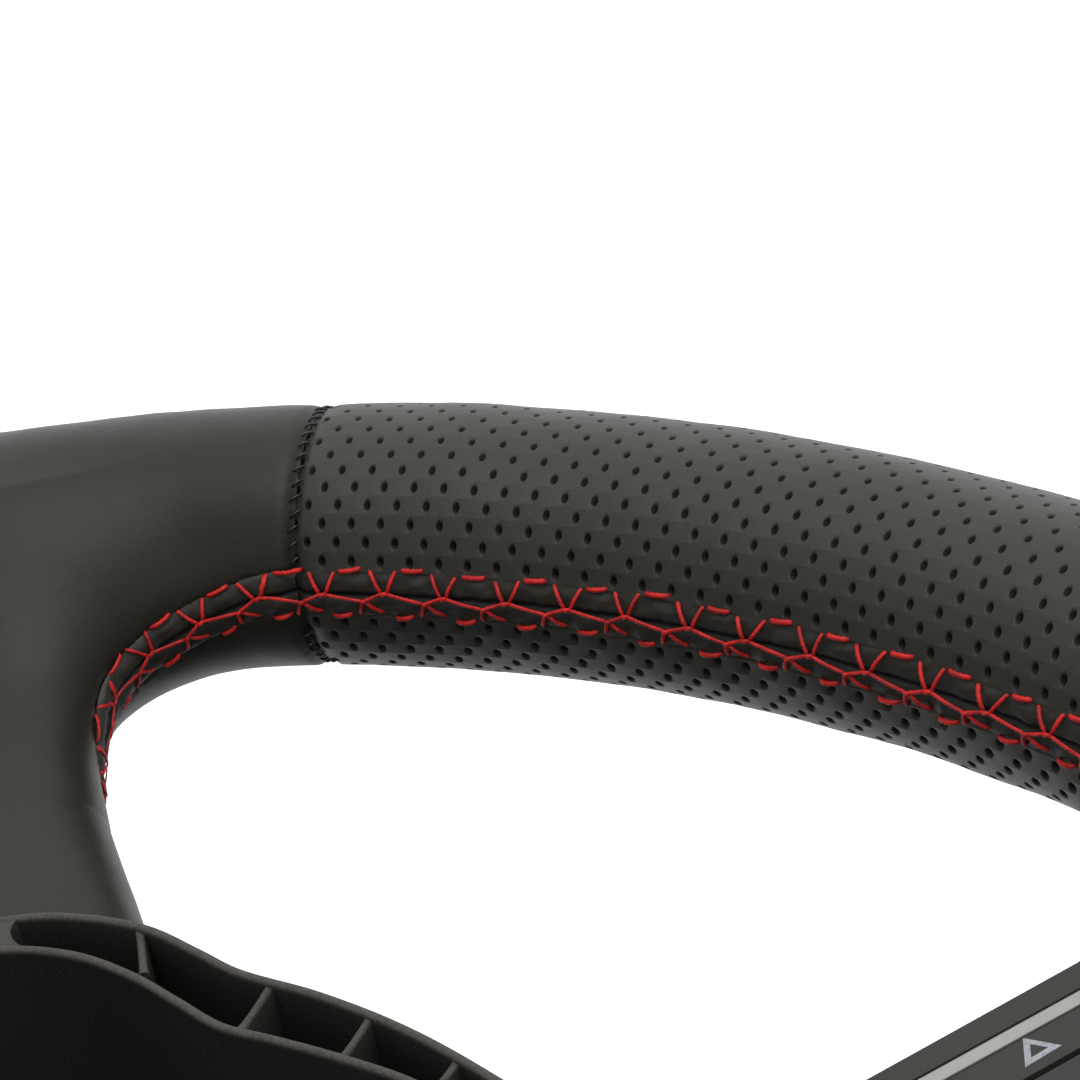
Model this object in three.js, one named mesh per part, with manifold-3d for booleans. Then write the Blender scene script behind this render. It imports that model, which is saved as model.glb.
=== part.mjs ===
// A leather-bound road-pattern steering wheel on a ball-lock quick release. Units are millimetres.
// Everything is drawn in the wheel's own plane, x to the driver's right, y up and z towards the driver,
// and one group at the end stands it upright with the driver towards -Y and the column behind it.
import * as THREE from "three";
import { mergeVertices } from "three/addons/utils/BufferGeometryUtils.js";
import Module from "manifold-3d";

const wasm = await Module();
wasm.setup();

// Rim and its covering
const RIM_RADIUS = 169; // centre line of the rim
const GRIP_RADIUS = 16; // outside of the leather, across the section
const LEATHER = 1.4;
const CORE_RADIUS = 5; // steel ring inside the foam
const RIM_STEPS = 40;
const GRIP_SIDES = 12;
const SEAM_ANGLE = 22; // lower seams, degrees each side of the bottom
const GRIP_END = 140; // upper seams, degrees each side of the bottom
const THREAD_RADIUS = 0.5;
// Facets of turned pieces
const ROUND = 28;
const HOLE_SIDES = 8;
// Gaps
const GAP = 0.3; // between pieces that touch
const RUN = 0.2; // between pieces that slide
// Depths, z from the middle plane of the rim
const PLATE_BACK = -34;
const PLATE = 5;
const SURROUND_TOP = 8;
const CHANNEL_FLOOR = -7;
const SKIRT_BOTTOM = -12;
const COVER_BACK = -40;
const COLUMN_FACE = -90;
// Hub plate and arms
const PLATE_RADIUS = 64;
const PLATE_BORE = 18;
const BOLT_CIRCLE = 35;
const BOLT_COUNT = 6;
const BOLT_RADIUS = 2.4;
const BOLT_HEAD_RADIUS = 4.4;
const BOLT_HEAD = 3;
const ARM_HALF_WIDTH = 14;
const LOWER_ARM_HALF_WIDTH = 20;
const SPOKE_HALF_WIDTH = 33; // outside of the leather on the lower spoke
const SPOKE_FLARE = 13;
const SPOKE_TOP = -1;
const SPOKE_START = 87.5;
// Surround
const WALL = 1.4;
const LOOP_STEPS = 54;
const RIB_PITCH = 12.5;
const RIB_DROP = 2;
const RIB_HEIGHT = 9;
const LIP_BORE = 54;
const SCREW_CIRCLE = 58;
const SCREW_RADIUS = 1.5;
const SCREW_HEAD_RADIUS = 3.2;
const SCREW_LENGTH = 7;
// Side spokes and their keys
const HOUSING_TOP = 7;
const HOUSING_SPLIT = -16;
const HOUSING_BACK = -36;
const HOUSING_WALL = 1.6;
const STRIP_WIDTH = 1.5;
const STRIP_DEPTH = 0.9; // of the groove that holds it
const BEZEL = 4.6; // between the strip and the opening for the keys
const KEY_GAP = 1;
const KEY_STANDOFF = 0.5;
const KEY_TRAVEL = 1.2;
const KEY_HEIGHT = 3.6;
const PLUNGER_RADIUS = 2;
const DOME_HEIGHT = 1.6;
const DOME_WALL = 0.9;
const BOARD = 1.6;
const POST_INSET = 2.2; // of the housing's posts, outside the silver strip
const POST_RADIUS = 1.5;
// Quick release
const FLANGE_RADIUS = 42;
const FLANGE = 8;
const SPLINE_RADIUS = 16.5;
const SLEEVE_RADIUS = SPLINE_RADIUS + 5.5;
const SLEEVE_END = -84;
const SPLINE_DEPTH = 1.2;
const SPLINE_TEETH = 12;
const SHAFT_TOP = -46;
const BALL_RADIUS = 3;
const BALL_PLANE = -66;
const BALL_COUNT = 6;
const BALL_TRAVEL = 1;
const COLLAR_RADIUS = SLEEVE_RADIUS + 9;
const COLLAR_LENGTH = 24;
const COLLAR_TRAVEL = 8;
const RAMP_RISE = 1.2;
const SPRING_WIRE = 1;
const SPRING_RADIUS = SLEEVE_RADIUS + 3.5;
const SPRING_TURNS = 2.2;
const SNAP_RING = 1.2;
const BOSS_FLANGE = 5;
// Horn button
const HORN_RADIUS = 29;
const HORN_DEPTH = 17;
const HORN_CAP_RADIUS = 25.5;
const HORN_TRAVEL = 3;

const QUARTER = Math.PI / 2;
const rad = THREE.MathUtils.degToRad;

const finish = (color, roughness, metalness = 0) => new THREE.MeshStandardMaterial({ color, roughness, metalness });
const MATERIALS = {
  leather: finish(0x43423e, 0.5),
  nylon: finish(0x121210, 0.7),
  plastic: finish(0x3f403c, 0.55),
  key: finish(0x3a3b38, 0.6),
  silver: finish(0xb4b4af, 0.35, 0.8),
  thread: finish(0x912523, 0.8),
  foam: finish(0x2b2b2b, 0.95),
  casting: finish(0x9a9b9c, 0.5, 0.9),
  steel: finish(0x6f7174, 0.35, 1),
  anodised: finish(0x9c1f1c, 0.35, 0.9),
  rubber: finish(0x1a1a1a, 0.85),
  board: finish(0x1f5a38, 0.6),
  brass: finish(0xb08d46, 0.35, 1),
};

// Solids and the shapes they are made from

function solid(geometry) {
  const bare = new THREE.BufferGeometry();
  bare.setAttribute("position", (geometry.index ? geometry.toNonIndexed() : geometry).getAttribute("position"));
  const merged = mergeVertices(bare, 1e-3);
  return new wasm.Manifold(
    new wasm.Mesh({
      numProp: 3,
      vertProperties: merged.getAttribute("position").array,
      triVerts: new Uint32Array(merged.index.array),
    }),
  );
}

function geometryOf(body) {
  const mesh = body.getMesh();
  const geometry = new THREE.BufferGeometry();
  geometry.setAttribute("position", new THREE.BufferAttribute(mesh.vertProperties, 3));
  geometry.setIndex(new THREE.BufferAttribute(mesh.triVerts, 1));
  geometry.computeVertexNormals();
  return geometry;
}

function disc(radius, low, high, sides = ROUND, x = 0, y = 0) {
  const geometry = new THREE.CylinderGeometry(radius, radius, high - low, sides);
  return solid(geometry.rotateX(QUARTER).translate(x, y, (low + high) / 2));
}

const washer = (outer, inner, low, high, sides = ROUND) =>
  disc(outer, low, high, sides).subtract(disc(inner, low - 1, high + 1, sides));

function prism(points, low, high) {
  const shape = new THREE.Shape(points);
  const geometry = new THREE.ExtrudeGeometry(shape, { depth: high - low, bevelEnabled: false });
  return solid(geometry.translate(0, 0, low));
}

const torus = (radius, section, sides = GRIP_SIDES, steps = RIM_STEPS) =>
  solid(new THREE.TorusGeometry(radius, section, sides, steps));

function lathe(profile, sides = ROUND) {
  const points = profile.map(([r, z]) => new THREE.Vector2(r, z));
  return solid(new THREE.LatheGeometry(points, sides).rotateX(QUARTER));
}

// A side profile given as [distance from the wheel's centre, z], as wide as 2 * halfWidth, that points
// down the wheel and is then turned by angle.
function arm(profile, halfWidth, angle = 0) {
  const shape = new THREE.Shape(profile.map(([r, z]) => new THREE.Vector2(r, z)));
  const geometry = new THREE.ExtrudeGeometry(shape, { depth: 2 * halfWidth, bevelEnabled: false });
  const along = new THREE.Vector3(0, -1, 0);
  const up = new THREE.Vector3(0, 0, 1);
  const across = new THREE.Vector3().crossVectors(along, up);
  geometry.translate(0, 0, -halfWidth).applyMatrix4(new THREE.Matrix4().makeBasis(along, up, across));
  return solid(geometry.rotateZ(angle));
}

// The part of the wheel between two angles counted from the bottom, positive to the driver's left.
function sector(from, to) {
  const reach = RIM_RADIUS * 1.4;
  const count = Math.ceil((to - from) / 20);
  const points = [new THREE.Vector2(0, 0)];
  for (let i = 0; i <= count; i++) {
    const a = rad(-90 - to + ((to - from) * i) / count);
    points.push(new THREE.Vector2(reach * Math.cos(a), reach * Math.sin(a)));
  }
  return prism(points, -60, 60);
}

// A closed outline through half of its points, mirrored about x = 0, as an even loop of vertices.
function loopThrough(half, count) {
  const right = half.map(([x, y]) => new THREE.Vector3(x, y, 0));
  const left = half.slice(1, -1).reverse().map(([x, y]) => new THREE.Vector3(-x, y, 0));
  const curve = new THREE.CatmullRomCurve3([...right, ...left], true, "centripetal");
  return curve.getSpacedPoints(count).slice(0, count).map((p) => new THREE.Vector2(p.x, p.y));
}

// The same loop moved outwards by distance.
function grown(loop, distance) {
  return loop.map((p, i) => {
    const before = loop[(i + loop.length - 1) % loop.length];
    const after = loop[(i + 1) % loop.length];
    const a = p.clone().sub(before).normalize();
    const b = after.clone().sub(p).normalize();
    const mitre = new THREE.Vector2(a.y + b.y, -a.x - b.x).normalize();
    const cosine = mitre.x * b.y - mitre.y * b.x;
    return p.clone().addScaledVector(mitre, distance / Math.max(cosine, 0.3));
  });
}

const wallAlong = (loop, thickness, low, high) =>
  prism(grown(loop, thickness / 2), low, high).subtract(prism(grown(loop, -thickness / 2), low - 1, high + 1));

const joined = (bodies) => bodies.reduce((sum, body) => sum.add(body));
const aroundCircle = (count, radius, make, phase = 0) =>
  Array.from({ length: count }, (_, i) => {
    const a = phase + (i * 2 * Math.PI) / count;
    return make(radius * Math.cos(a), radius * Math.sin(a), a, i);
  });

const wheel = new THREE.Group();
function add(name, body, material) {
  const mesh = new THREE.Mesh(body.isBufferGeometry ? body : geometryOf(body), MATERIALS[material]);
  mesh.name = name;
  wheel.add(mesh);
}

// Cast hub and its three arms, cast round the steel ring

const PLATE_FRONT = PLATE_BACK + PLATE;
const RIM_INSIDE = RIM_RADIUS - GRIP_RADIUS;

function armProfile(grow) {
  const back = PLATE_BACK - grow;
  const front = PLATE_FRONT + grow;
  const end = RIM_RADIUS + CORE_RADIUS + 2 + grow;
  return [
    [40, back], [86, back], [120, -16 - grow], [RIM_INSIDE - 3, -9 - grow], [end, -4 - grow],
    [end, 4 + grow], [RIM_INSIDE + 6, 4 + grow], [RIM_INSIDE - 4, -2.5 + grow], [120, -9 + grow],
    [84, front], [40, front],
  ];
}

const arms = (grow) =>
  joined([
    arm(armProfile(grow), LOWER_ARM_HALF_WIDTH + grow),
    arm(armProfile(grow), ARM_HALF_WIDTH + grow, QUARTER),
    arm(armProfile(grow), ARM_HALF_WIDTH + grow, -QUARTER),
  ]);

const boltHoles = (radius, low, high) =>
  joined(aroundCircle(BOLT_COUNT, BOLT_CIRCLE, (x, y) => disc(radius, low, high, HOLE_SIDES, x, y)));
const screwHoles = (radius, low, high) =>
  joined(aroundCircle(4, SCREW_CIRCLE, (x, y) => disc(radius, low, high, HOLE_SIDES, x, y), QUARTER / 2));

const ringTunnel = torus(RIM_RADIUS, CORE_RADIUS + GAP, 8);
add("rim_core_ring", torus(RIM_RADIUS, CORE_RADIUS, 8), "steel");
add(
  "hub_casting",
  washer(PLATE_RADIUS, PLATE_BORE, PLATE_BACK, PLATE_FRONT)
    .add(arms(0).subtract(disc(PLATE_BORE + 4, PLATE_BACK - 1, PLATE_FRONT + 1)))
    .subtract(boltHoles(BOLT_RADIUS + RUN, PLATE_BACK - 1, PLATE_FRONT + 1))
    .subtract(screwHoles(SCREW_RADIUS + RUN, PLATE_BACK - 1, PLATE_FRONT + 1))
    .subtract(ringTunnel),
  "casting",
);

// Foam, and the leather sewn over it in four lengths, the lowest of them running down the spoke

// The spoke's sides curve into the inside of the rim from this height.
const flareTop = -RIM_INSIDE + SPOKE_FLARE + 5;

function lowerSpoke(inset) {
  const start = SPOKE_START + inset;
  const top = SPOKE_TOP - inset;
  const profile = [
    [start, -36 + inset], [124, -18 + inset], [RIM_RADIUS, -12 + inset],
    [RIM_RADIUS, top], [start, top],
  ];
  const half = SPOKE_HALF_WIDTH - inset;
  const flare = SPOKE_FLARE + inset;
  const right = [new THREE.Vector2(half, -start)];
  for (let i = 0; i <= 5; i++) {
    const a = Math.PI + (i * QUARTER) / 5;
    right.push(new THREE.Vector2(half + flare + flare * Math.cos(a), flareTop + flare * Math.sin(a)));
  }
  right.push(new THREE.Vector2(half + flare, -RIM_RADIUS));
  const left = right.map((p) => new THREE.Vector2(-p.x, p.y)).reverse();
  return arm(profile, half + flare + 1).intersect(prism([...left, ...right], -60, 20));
}

const covering = (inset) => torus(RIM_RADIUS, GRIP_RADIUS - inset).add(lowerSpoke(inset));
const sleeve = covering(0).subtract(covering(LEATHER)).subtract(arms(GAP));
const seamGap = THREE.MathUtils.radToDeg(GAP / 2 / RIM_INSIDE);
const spokeMouth = arm([[SPOKE_START - 1, -60], [SPOKE_START + 3, -60], [SPOKE_START + 3, SPOKE_TOP - LEATHER],
  [SPOKE_START - 1, SPOKE_TOP - LEATHER]], LOWER_ARM_HALF_WIDTH + 6);

add("rim_foam", covering(LEATHER + GAP).subtract(arms(GAP)).subtract(ringTunnel), "foam");
for (const [name, from, to] of [
  ["leather_lower_spoke", -SEAM_ANGLE, SEAM_ANGLE],
  ["leather_grip_left", SEAM_ANGLE, GRIP_END],
  ["leather_grip_right", -GRIP_END, -SEAM_ANGLE],
  ["leather_top", GRIP_END, 360 - GRIP_END],
])
  add(name, sleeve.intersect(sector(from + seamGap, to - seamGap)).subtract(spokeMouth), "leather");

// The sewn line along the inside of the rim, broken by the three spokes
const threadLine = torus(RIM_INSIDE - GAP - THREAD_RADIUS, THREAD_RADIUS, 6);
for (const [name, from, to] of [
  ["rim_thread_left", SEAM_ANGLE, 67],
  ["rim_thread_right", -67, -SEAM_ANGLE],
  ["rim_thread_upper", 109, 251],
])
  add(name, threadLine.intersect(sector(from, to)), "thread");

// Surround: a double-walled ribbed moulding round the open recess of the hub

const OUTER_LOOP = loopThrough(
  [[0, -85.4], [22, -84.7], [28, -82.6], [34.2, -78.4], [38.7, -72.9], [42, -68.6], [48.8, -62.6],
    [55.1, -55.8], [61, -47.6], [70, -32], [78, -12], [79, 12], [68, 38], [46, 58], [0, 68]], LOOP_STEPS,
);
const INNER_LOOP = loopThrough(
  [[0, -81], [19, -80.6], [26.6, -77.2], [32, -72], [36, -66.4], [39.6, -61.3], [44, -57.8],
    [49.6, -53.1], [55.6, -47.2], [60, -40], [65.5, -22], [67, 2], [60, 28], [41, 49], [0, 60]], LOOP_STEPS,
);

function nearestOn(loop, point) {
  return loop.reduce((best, p) => (p.distanceTo(point) < best.distanceTo(point) ? p : best));
}

function rib(from, to, low, high, thickness) {
  const side = to.clone().sub(from).normalize().multiplyScalar(thickness / 2);
  const across = new THREE.Vector2(-side.y, side.x);
  const corners = [from.clone().sub(across), to.clone().sub(across), to.clone().add(across), from.clone().add(across)];
  return prism(corners, low, high);
}

let loopLength = 0;
INNER_LOOP.forEach((p, i) => (loopLength += p.distanceTo(INNER_LOOP[(i + 1) % INNER_LOOP.length])));
const ribCount = 2 * Math.round(loopLength / RIB_PITCH / 2);
const ribs = Array.from({ length: ribCount }, (_, i) => {
  const from = INNER_LOOP[Math.round(((i + 0.5) * INNER_LOOP.length) / ribCount) % INNER_LOOP.length];
  const high = SURROUND_TOP - RIB_DROP;
  return rib(from, nearestOn(OUTER_LOOP, from), high - RIB_HEIGHT, high, 1.2);
});
const lipBack = PLATE_FRONT + GAP;
add(
  "hub_surround",
  joined([
    wallAlong(OUTER_LOOP, WALL, SKIRT_BOTTOM, SURROUND_TOP),
    wallAlong(INNER_LOOP, WALL, lipBack, SURROUND_TOP),
    prism(grown(OUTER_LOOP, 0), CHANNEL_FLOOR, CHANNEL_FLOOR + WALL)
      .subtract(prism(grown(INNER_LOOP, 0), CHANNEL_FLOOR - 1, CHANNEL_FLOOR + WALL + 1)),
    prism(grown(INNER_LOOP, 0), lipBack, lipBack + WALL)
      .subtract(disc(LIP_BORE, lipBack - 1, lipBack + WALL + 1)),
    ...ribs,
  ]).subtract(screwHoles(SCREW_RADIUS + RUN, lipBack - 1, lipBack + WALL + 1)),
  "nylon",
);
aroundCircle(4, SCREW_CIRCLE, (x, y, _, i) => {
  const seat = lipBack + WALL + GAP;
  const head = disc(SCREW_HEAD_RADIUS, seat, seat + 2, HOLE_SIDES, x, y);
  add("surround_screw_" + (i + 1), head.add(disc(SCREW_RADIUS, seat - SCREW_LENGTH, seat + 1, HOLE_SIDES, x, y)), "steel");
}, QUARTER / 2);

// Back cover, from the skirt of the surround to the quick release
const coverTop = SKIRT_BOTTOM - GAP;
add(
  "back_cover",
  wallAlong(OUTER_LOOP, WALL, COVER_BACK, coverTop)
    .add(prism(grown(OUTER_LOOP, 0), COVER_BACK, COVER_BACK + 2)
      .subtract(disc(FLANGE_RADIUS + 2, COVER_BACK - 1, COVER_BACK + 3)))
    .add(joined(aroundCircle(4, SCREW_CIRCLE, (x, y) => disc(4, COVER_BACK + 1, PLATE_BACK - GAP, HOLE_SIDES, x, y))))
    .subtract(joined(aroundCircle(4, SCREW_CIRCLE, (x, y) => disc(SCREW_RADIUS + RUN, -60, 0, HOLE_SIDES, x, y))))
    .subtract(arms(2 * GAP)),
  "nylon",
);
aroundCircle(4, SCREW_CIRCLE, (x, y, _, i) => {
  const seat = COVER_BACK - GAP;
  const head = disc(SCREW_HEAD_RADIUS, seat - 2, seat, HOLE_SIDES, x, y);
  add("back_cover_screw_" + (i + 1), head.add(disc(SCREW_RADIUS, seat - 1, PLATE_BACK - GAP, HOLE_SIDES, x, y)), "steel");
});

// Side spokes: a front housing with a silver strip and four keys, and a rear shell behind the arm

// Corners of the right-hand housing, anticlockwise; the left one is its mirror image.
const HOUSING = [
  [83, -31], [94, -35], [116, -43], [RIM_INSIDE - 1, -58],
  [RIM_INSIDE + 3, 0], [RIM_INSIDE - 3, 44], [118, 33], [83, 27],
];

function mirrored(points, side) {
  const turned = points.map(([x, y]) => new THREE.Vector2(side * x, y));
  return side > 0 ? turned : turned.reverse();
}

const rimClear = torus(RIM_RADIUS, GRIP_RADIUS + GAP);
const shellEnd = RIM_INSIDE + 7;

// A point of the key field: u runs outwards along the spoke, v runs up.
const FIELD = { inner: 89, outer: RIM_INSIDE - 10, low: [-30.2, -49.4], high: [22, 35.5] };
function fieldPoint(u, v, side, edge = 0) {
  const x = FIELD.inner + edge + u * (FIELD.outer - FIELD.inner - 2 * edge);
  const t = (x - FIELD.inner) / (FIELD.outer - FIELD.inner);
  const low = THREE.MathUtils.lerp(FIELD.low[0], FIELD.low[1], t) + edge;
  const high = THREE.MathUtils.lerp(FIELD.high[0], FIELD.high[1], t) - edge;
  return new THREE.Vector2(side * x, THREE.MathUtils.lerp(low, high, v));
}

function fieldPatch(u0, u1, v0, v1, side, edge = 0) {
  const points = [[u0, v0], [u1, v0], [u1, v1], [u0, v1]].map(([u, v]) => fieldPoint(u, v, side, edge));
  return side > 0 ? points : points.reverse();
}

const KEYS = [["lower_inner", 0, 0], ["lower_outer", 1, 0], ["upper_inner", 0, 1], ["upper_outer", 1, 1]];
const opening = STRIP_WIDTH + BEZEL;
const keyEdge = opening + 0.4;
const keyPatch = (column, row, side, gap) => {
  const u = [[0, 0.5], [0.5, 1]][column];
  const v = [[0, 0.5], [0.5, 1]][row];
  return grown(fieldPatch(u[0], u[1], v[0], v[1], side, keyEdge), -gap / 2);
};
const keyMiddle = (column, row, side) => fieldPoint(0.25 + column / 2, 0.25 + row / 2, side, keyEdge);
const stripLoop = (side, edge) => fieldPatch(0, 1, 0, 1, side, edge);

for (const [hand, side] of [["left", -1], ["right", 1]]) {
  const outline = mirrored(HOUSING, side);
  const cavityTop = HOUSING_TOP - HOUSING_WALL;
  const boardBack = cavityTop - KEY_HEIGHT - DOME_HEIGHT - KEY_TRAVEL - BOARD;
  const posts = joined(grown(stripLoop(side, 0), POST_INSET).map((p) =>
    disc(POST_RADIUS, boardBack + BOARD + GAP, cavityTop + 0.5, HOLE_SIDES, p.x, p.y)))
    .intersect(prism(outline, HOUSING_SPLIT, HOUSING_TOP));
  const stripGroove = prism(stripLoop(side, -GAP), HOUSING_TOP - STRIP_DEPTH, HOUSING_TOP + 1)
    .subtract(prism(stripLoop(side, STRIP_WIDTH + GAP), HOUSING_TOP - STRIP_DEPTH - 1, HOUSING_TOP + 2));
  add(
    "spoke_housing_" + hand,
    prism(outline, HOUSING_SPLIT, HOUSING_TOP)
      .subtract(prism(grown(outline, -HOUSING_WALL), HOUSING_SPLIT - 1, cavityTop))
      .subtract(stripGroove)
      .subtract(prism(stripLoop(side, opening), cavityTop - 1, HOUSING_TOP + 1))
      .add(posts)
      .subtract(arms(2 * GAP))
      .subtract(rimClear),
    "plastic",
  );
  add(
    "silver_strip_" + hand,
    prism(stripLoop(side, 0), HOUSING_TOP - STRIP_DEPTH + GAP, HOUSING_TOP + 0.1)
      .subtract(prism(stripLoop(side, STRIP_WIDTH), HOUSING_TOP - 2, HOUSING_TOP + 1)),
    "silver",
  );
  const rearSlope = arm([[80, HOUSING_BACK], [100, HOUSING_BACK], [shellEnd, HOUSING_SPLIT - 5], [shellEnd, 0], [80, 0]],
    70, side * QUARTER);
  const rearHollow = arm([[70, HOUSING_BACK + HOUSING_WALL], [100, HOUSING_BACK + HOUSING_WALL],
    [shellEnd, HOUSING_SPLIT - 5 + HOUSING_WALL], [shellEnd, 0], [70, 0]], 70, side * QUARTER);
  add(
    "spoke_back_" + hand,
    prism(outline, HOUSING_BACK, HOUSING_SPLIT - GAP)
      .intersect(rearSlope)
      .subtract(prism(grown(outline, -HOUSING_WALL), HOUSING_BACK - 1, 0).intersect(rearHollow))
      .subtract(arms(2 * GAP))
      .subtract(rimClear),
    "plastic",
  );
  add(
    "switch_board_" + hand,
    prism(grown(stripLoop(side, 0), POST_INSET + POST_RADIUS), boardBack, boardBack + BOARD)
      .intersect(prism(grown(outline, -HOUSING_WALL - GAP), boardBack - 1, boardBack + BOARD + 1))
      .subtract(rimClear),
    "board",
  );
  const matBack = boardBack + BOARD + GAP;
  const keyDiscs = (radius, low, high) =>
    joined(KEYS.map(([, column, row]) => {
      const middle = keyMiddle(column, row, side);
      return disc(radius, low, high, HOLE_SIDES, middle.x, middle.y);
    }));
  add(
    "key_mat_" + hand,
    prism(stripLoop(side, STRIP_WIDTH + 1), matBack, matBack + 0.6)
      .add(keyDiscs(PLUNGER_RADIUS + GAP + DOME_WALL, matBack + 0.3, matBack + DOME_HEIGHT))
      .subtract(keyDiscs(PLUNGER_RADIUS + GAP, matBack - 1, matBack + DOME_HEIGHT + 1)),
    "rubber",
  );
  for (const [place, column, row] of KEYS) {
    const keyBack = matBack + DOME_HEIGHT + GAP + KEY_TRAVEL;
    const middle = keyMiddle(column, row, side);
    add(
      "key_" + hand + "_" + place,
      prism(keyPatch(column, row, side, KEY_GAP), keyBack, HOUSING_TOP + KEY_STANDOFF)
        .add(disc(PLUNGER_RADIUS, matBack + KEY_TRAVEL, keyBack + 1, HOLE_SIDES, middle.x, middle.y)),
      "key",
    );
  }
}

// Quick release: a splined sleeve bolted behind the hub, with six balls in its wall

const flangeFront = PLATE_BACK - GAP;
const flangeBack = flangeFront - FLANGE;

function splineOutline(grow) {
  const points = [];
  for (let i = 0; i < SPLINE_TEETH; i++)
    for (const [part, radius] of [[0, 0], [0.4, 0], [0.5, 1], [0.9, 1]]) {
      const a = ((i + part) * 2 * Math.PI) / SPLINE_TEETH;
      const r = SPLINE_RADIUS + grow - radius * SPLINE_DEPTH;
      points.push(new THREE.Vector2(r * Math.cos(a), r * Math.sin(a)));
    }
  return points;
}

const ballPlaces = (make) => aroundCircle(BALL_COUNT, 1, (x, y, a, i) => make(a, i), rad(30));
function radialPin(radius, from, to, angle, z) {
  const geometry = new THREE.CylinderGeometry(radius, radius, to - from, 10);
  geometry.rotateZ(-QUARTER).translate((from + to) / 2, 0, 0);
  return solid(geometry.rotateZ(angle).translate(0, 0, z));
}

const snapTop = COLLAR_LENGTH / 2 + BALL_PLANE - COLLAR_LENGTH - 2 - GAP;
add(
  "quick_release_hub",
  joined([disc(FLANGE_RADIUS, flangeBack, flangeFront), disc(SLEEVE_RADIUS, SLEEVE_END, flangeBack + 1)])
    .subtract(prism(splineOutline(RUN), SLEEVE_END - 1, SHAFT_TOP + 1))
    .subtract(disc(12, SHAFT_TOP, flangeFront + 1, 16))
    .subtract(boltHoles(BOLT_RADIUS + RUN, flangeBack - 1, flangeFront + 1))
    .subtract(joined(ballPlaces((a) => radialPin(BALL_RADIUS + RUN / 2, 10, SLEEVE_RADIUS + 2, a, BALL_PLANE))))
    .subtract(washer(SLEEVE_RADIUS + 2, SLEEVE_RADIUS - 1.2, snapTop - SNAP_RING - RUN, snapTop + RUN)),
  "steel",
);
const ringMouth = prism([[0, 0], [40, -8], [40, 8]].map(([x, y]) => new THREE.Vector2(x, y)), SLEEVE_END - 5, 0);
add(
  "snap_ring",
  washer(SLEEVE_RADIUS + 2.6, SLEEVE_RADIUS - 1, snapTop - SNAP_RING, snapTop).subtract(ringMouth),
  "steel",
);

aroundCircle(BOLT_COUNT, BOLT_CIRCLE, (x, y, _, i) => {
  const seat = PLATE_FRONT + GAP;
  const head = disc(BOLT_HEAD_RADIUS, seat, seat + BOLT_HEAD, 10, x, y);
  const socket = disc(1.6, seat + 1.4, seat + BOLT_HEAD + 1, 6, x, y);
  const shank = disc(BOLT_RADIUS, flangeBack + 1, seat + 0.5, HOLE_SIDES, x, y);
  add("hub_bolt_" + (i + 1), head.add(shank).subtract(socket), "steel");
});

const ballRest = SPLINE_RADIUS + 0.15 + BALL_RADIUS;
ballPlaces((a, i) => {
  const ball = new THREE.SphereGeometry(BALL_RADIUS, 8, 6);
  add("lock_ball_" + (i + 1), solid(ball.translate(ballRest * Math.cos(a), ballRest * Math.sin(a), BALL_PLANE)), "steel");
});

// Release collar: its inner ramp lets the balls out as it slides towards the driver
const collarBack = snapTop + GAP;
const collarFront = collarBack + COLLAR_LENGTH;
const collarBore = SLEEVE_RADIUS + RUN;
const rampRest = ballRest + BALL_RADIUS + GAP;
add(
  "release_collar",
  lathe([
    [collarBore, collarBack], [COLLAR_RADIUS - 2, collarBack], [COLLAR_RADIUS, collarBack + 2],
    [COLLAR_RADIUS, collarBack + 6], [COLLAR_RADIUS - 1.5, collarBack + 8],
    [COLLAR_RADIUS - 1.5, collarFront - 6], [COLLAR_RADIUS, collarFront - 4],
    [COLLAR_RADIUS, collarFront - 1], [COLLAR_RADIUS - 1, collarFront], [collarBore, collarFront],
    [collarBore, BALL_PLANE + BALL_RADIUS + 1.5], [rampRest, BALL_PLANE + BALL_RADIUS + 1],
    [rampRest + RAMP_RISE, BALL_PLANE - COLLAR_TRAVEL - 1], [collarBore, BALL_PLANE - COLLAR_TRAVEL - 3],
    [collarBore, collarBack],
  ]),
  "anodised",
);

class Helix extends THREE.Curve {
  constructor(radius, low, high, turns) {
    super();
    Object.assign(this, { radius, low, high, turns });
  }
  getPoint(t, target = new THREE.Vector3()) {
    const a = t * this.turns * 2 * Math.PI;
    const z = THREE.MathUtils.lerp(this.low, this.high, t);
    return target.set(this.radius * Math.cos(a), this.radius * Math.sin(a), z);
  }
}

function coil(radius, wire, low, high, turns, stepsPerTurn, sides) {
  const section = new THREE.Shape();
  for (let i = 0; i < sides; i++) {
    const a = (i * 2 * Math.PI) / sides;
    section[i ? "lineTo" : "moveTo"](wire * Math.cos(a), wire * Math.sin(a));
  }
  const path = new Helix(radius, low + wire, high - wire, turns);
  const steps = Math.round(turns * stepsPerTurn);
  return solid(new THREE.ExtrudeGeometry(section, { steps, extrudePath: path, bevelEnabled: false }));
}
add(
  "collar_spring",
  coil(SPRING_RADIUS, SPRING_WIRE, collarFront + GAP, flangeBack - GAP, SPRING_TURNS, 14, 5),
  "steel",
);

// Column side of the quick release, bolted to the steering column
add(
  "column_boss",
  disc(FLANGE_RADIUS, COLUMN_FACE, COLUMN_FACE + BOSS_FLANGE)
    .add(prism(splineOutline(0), COLUMN_FACE + 1, SHAFT_TOP - GAP))
    .subtract(boltHoles(BOLT_RADIUS + RUN, COLUMN_FACE - 1, COLUMN_FACE + BOSS_FLANGE + 1))
    .subtract(disc(8, COLUMN_FACE + BOSS_FLANGE, SHAFT_TOP + 1, 16))
    .subtract(torus(SPLINE_RADIUS + 2, BALL_RADIUS + RUN, 8, 24).translate([0, 0, BALL_PLANE])),
  "steel",
);

// Horn button in the middle of the recess

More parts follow.
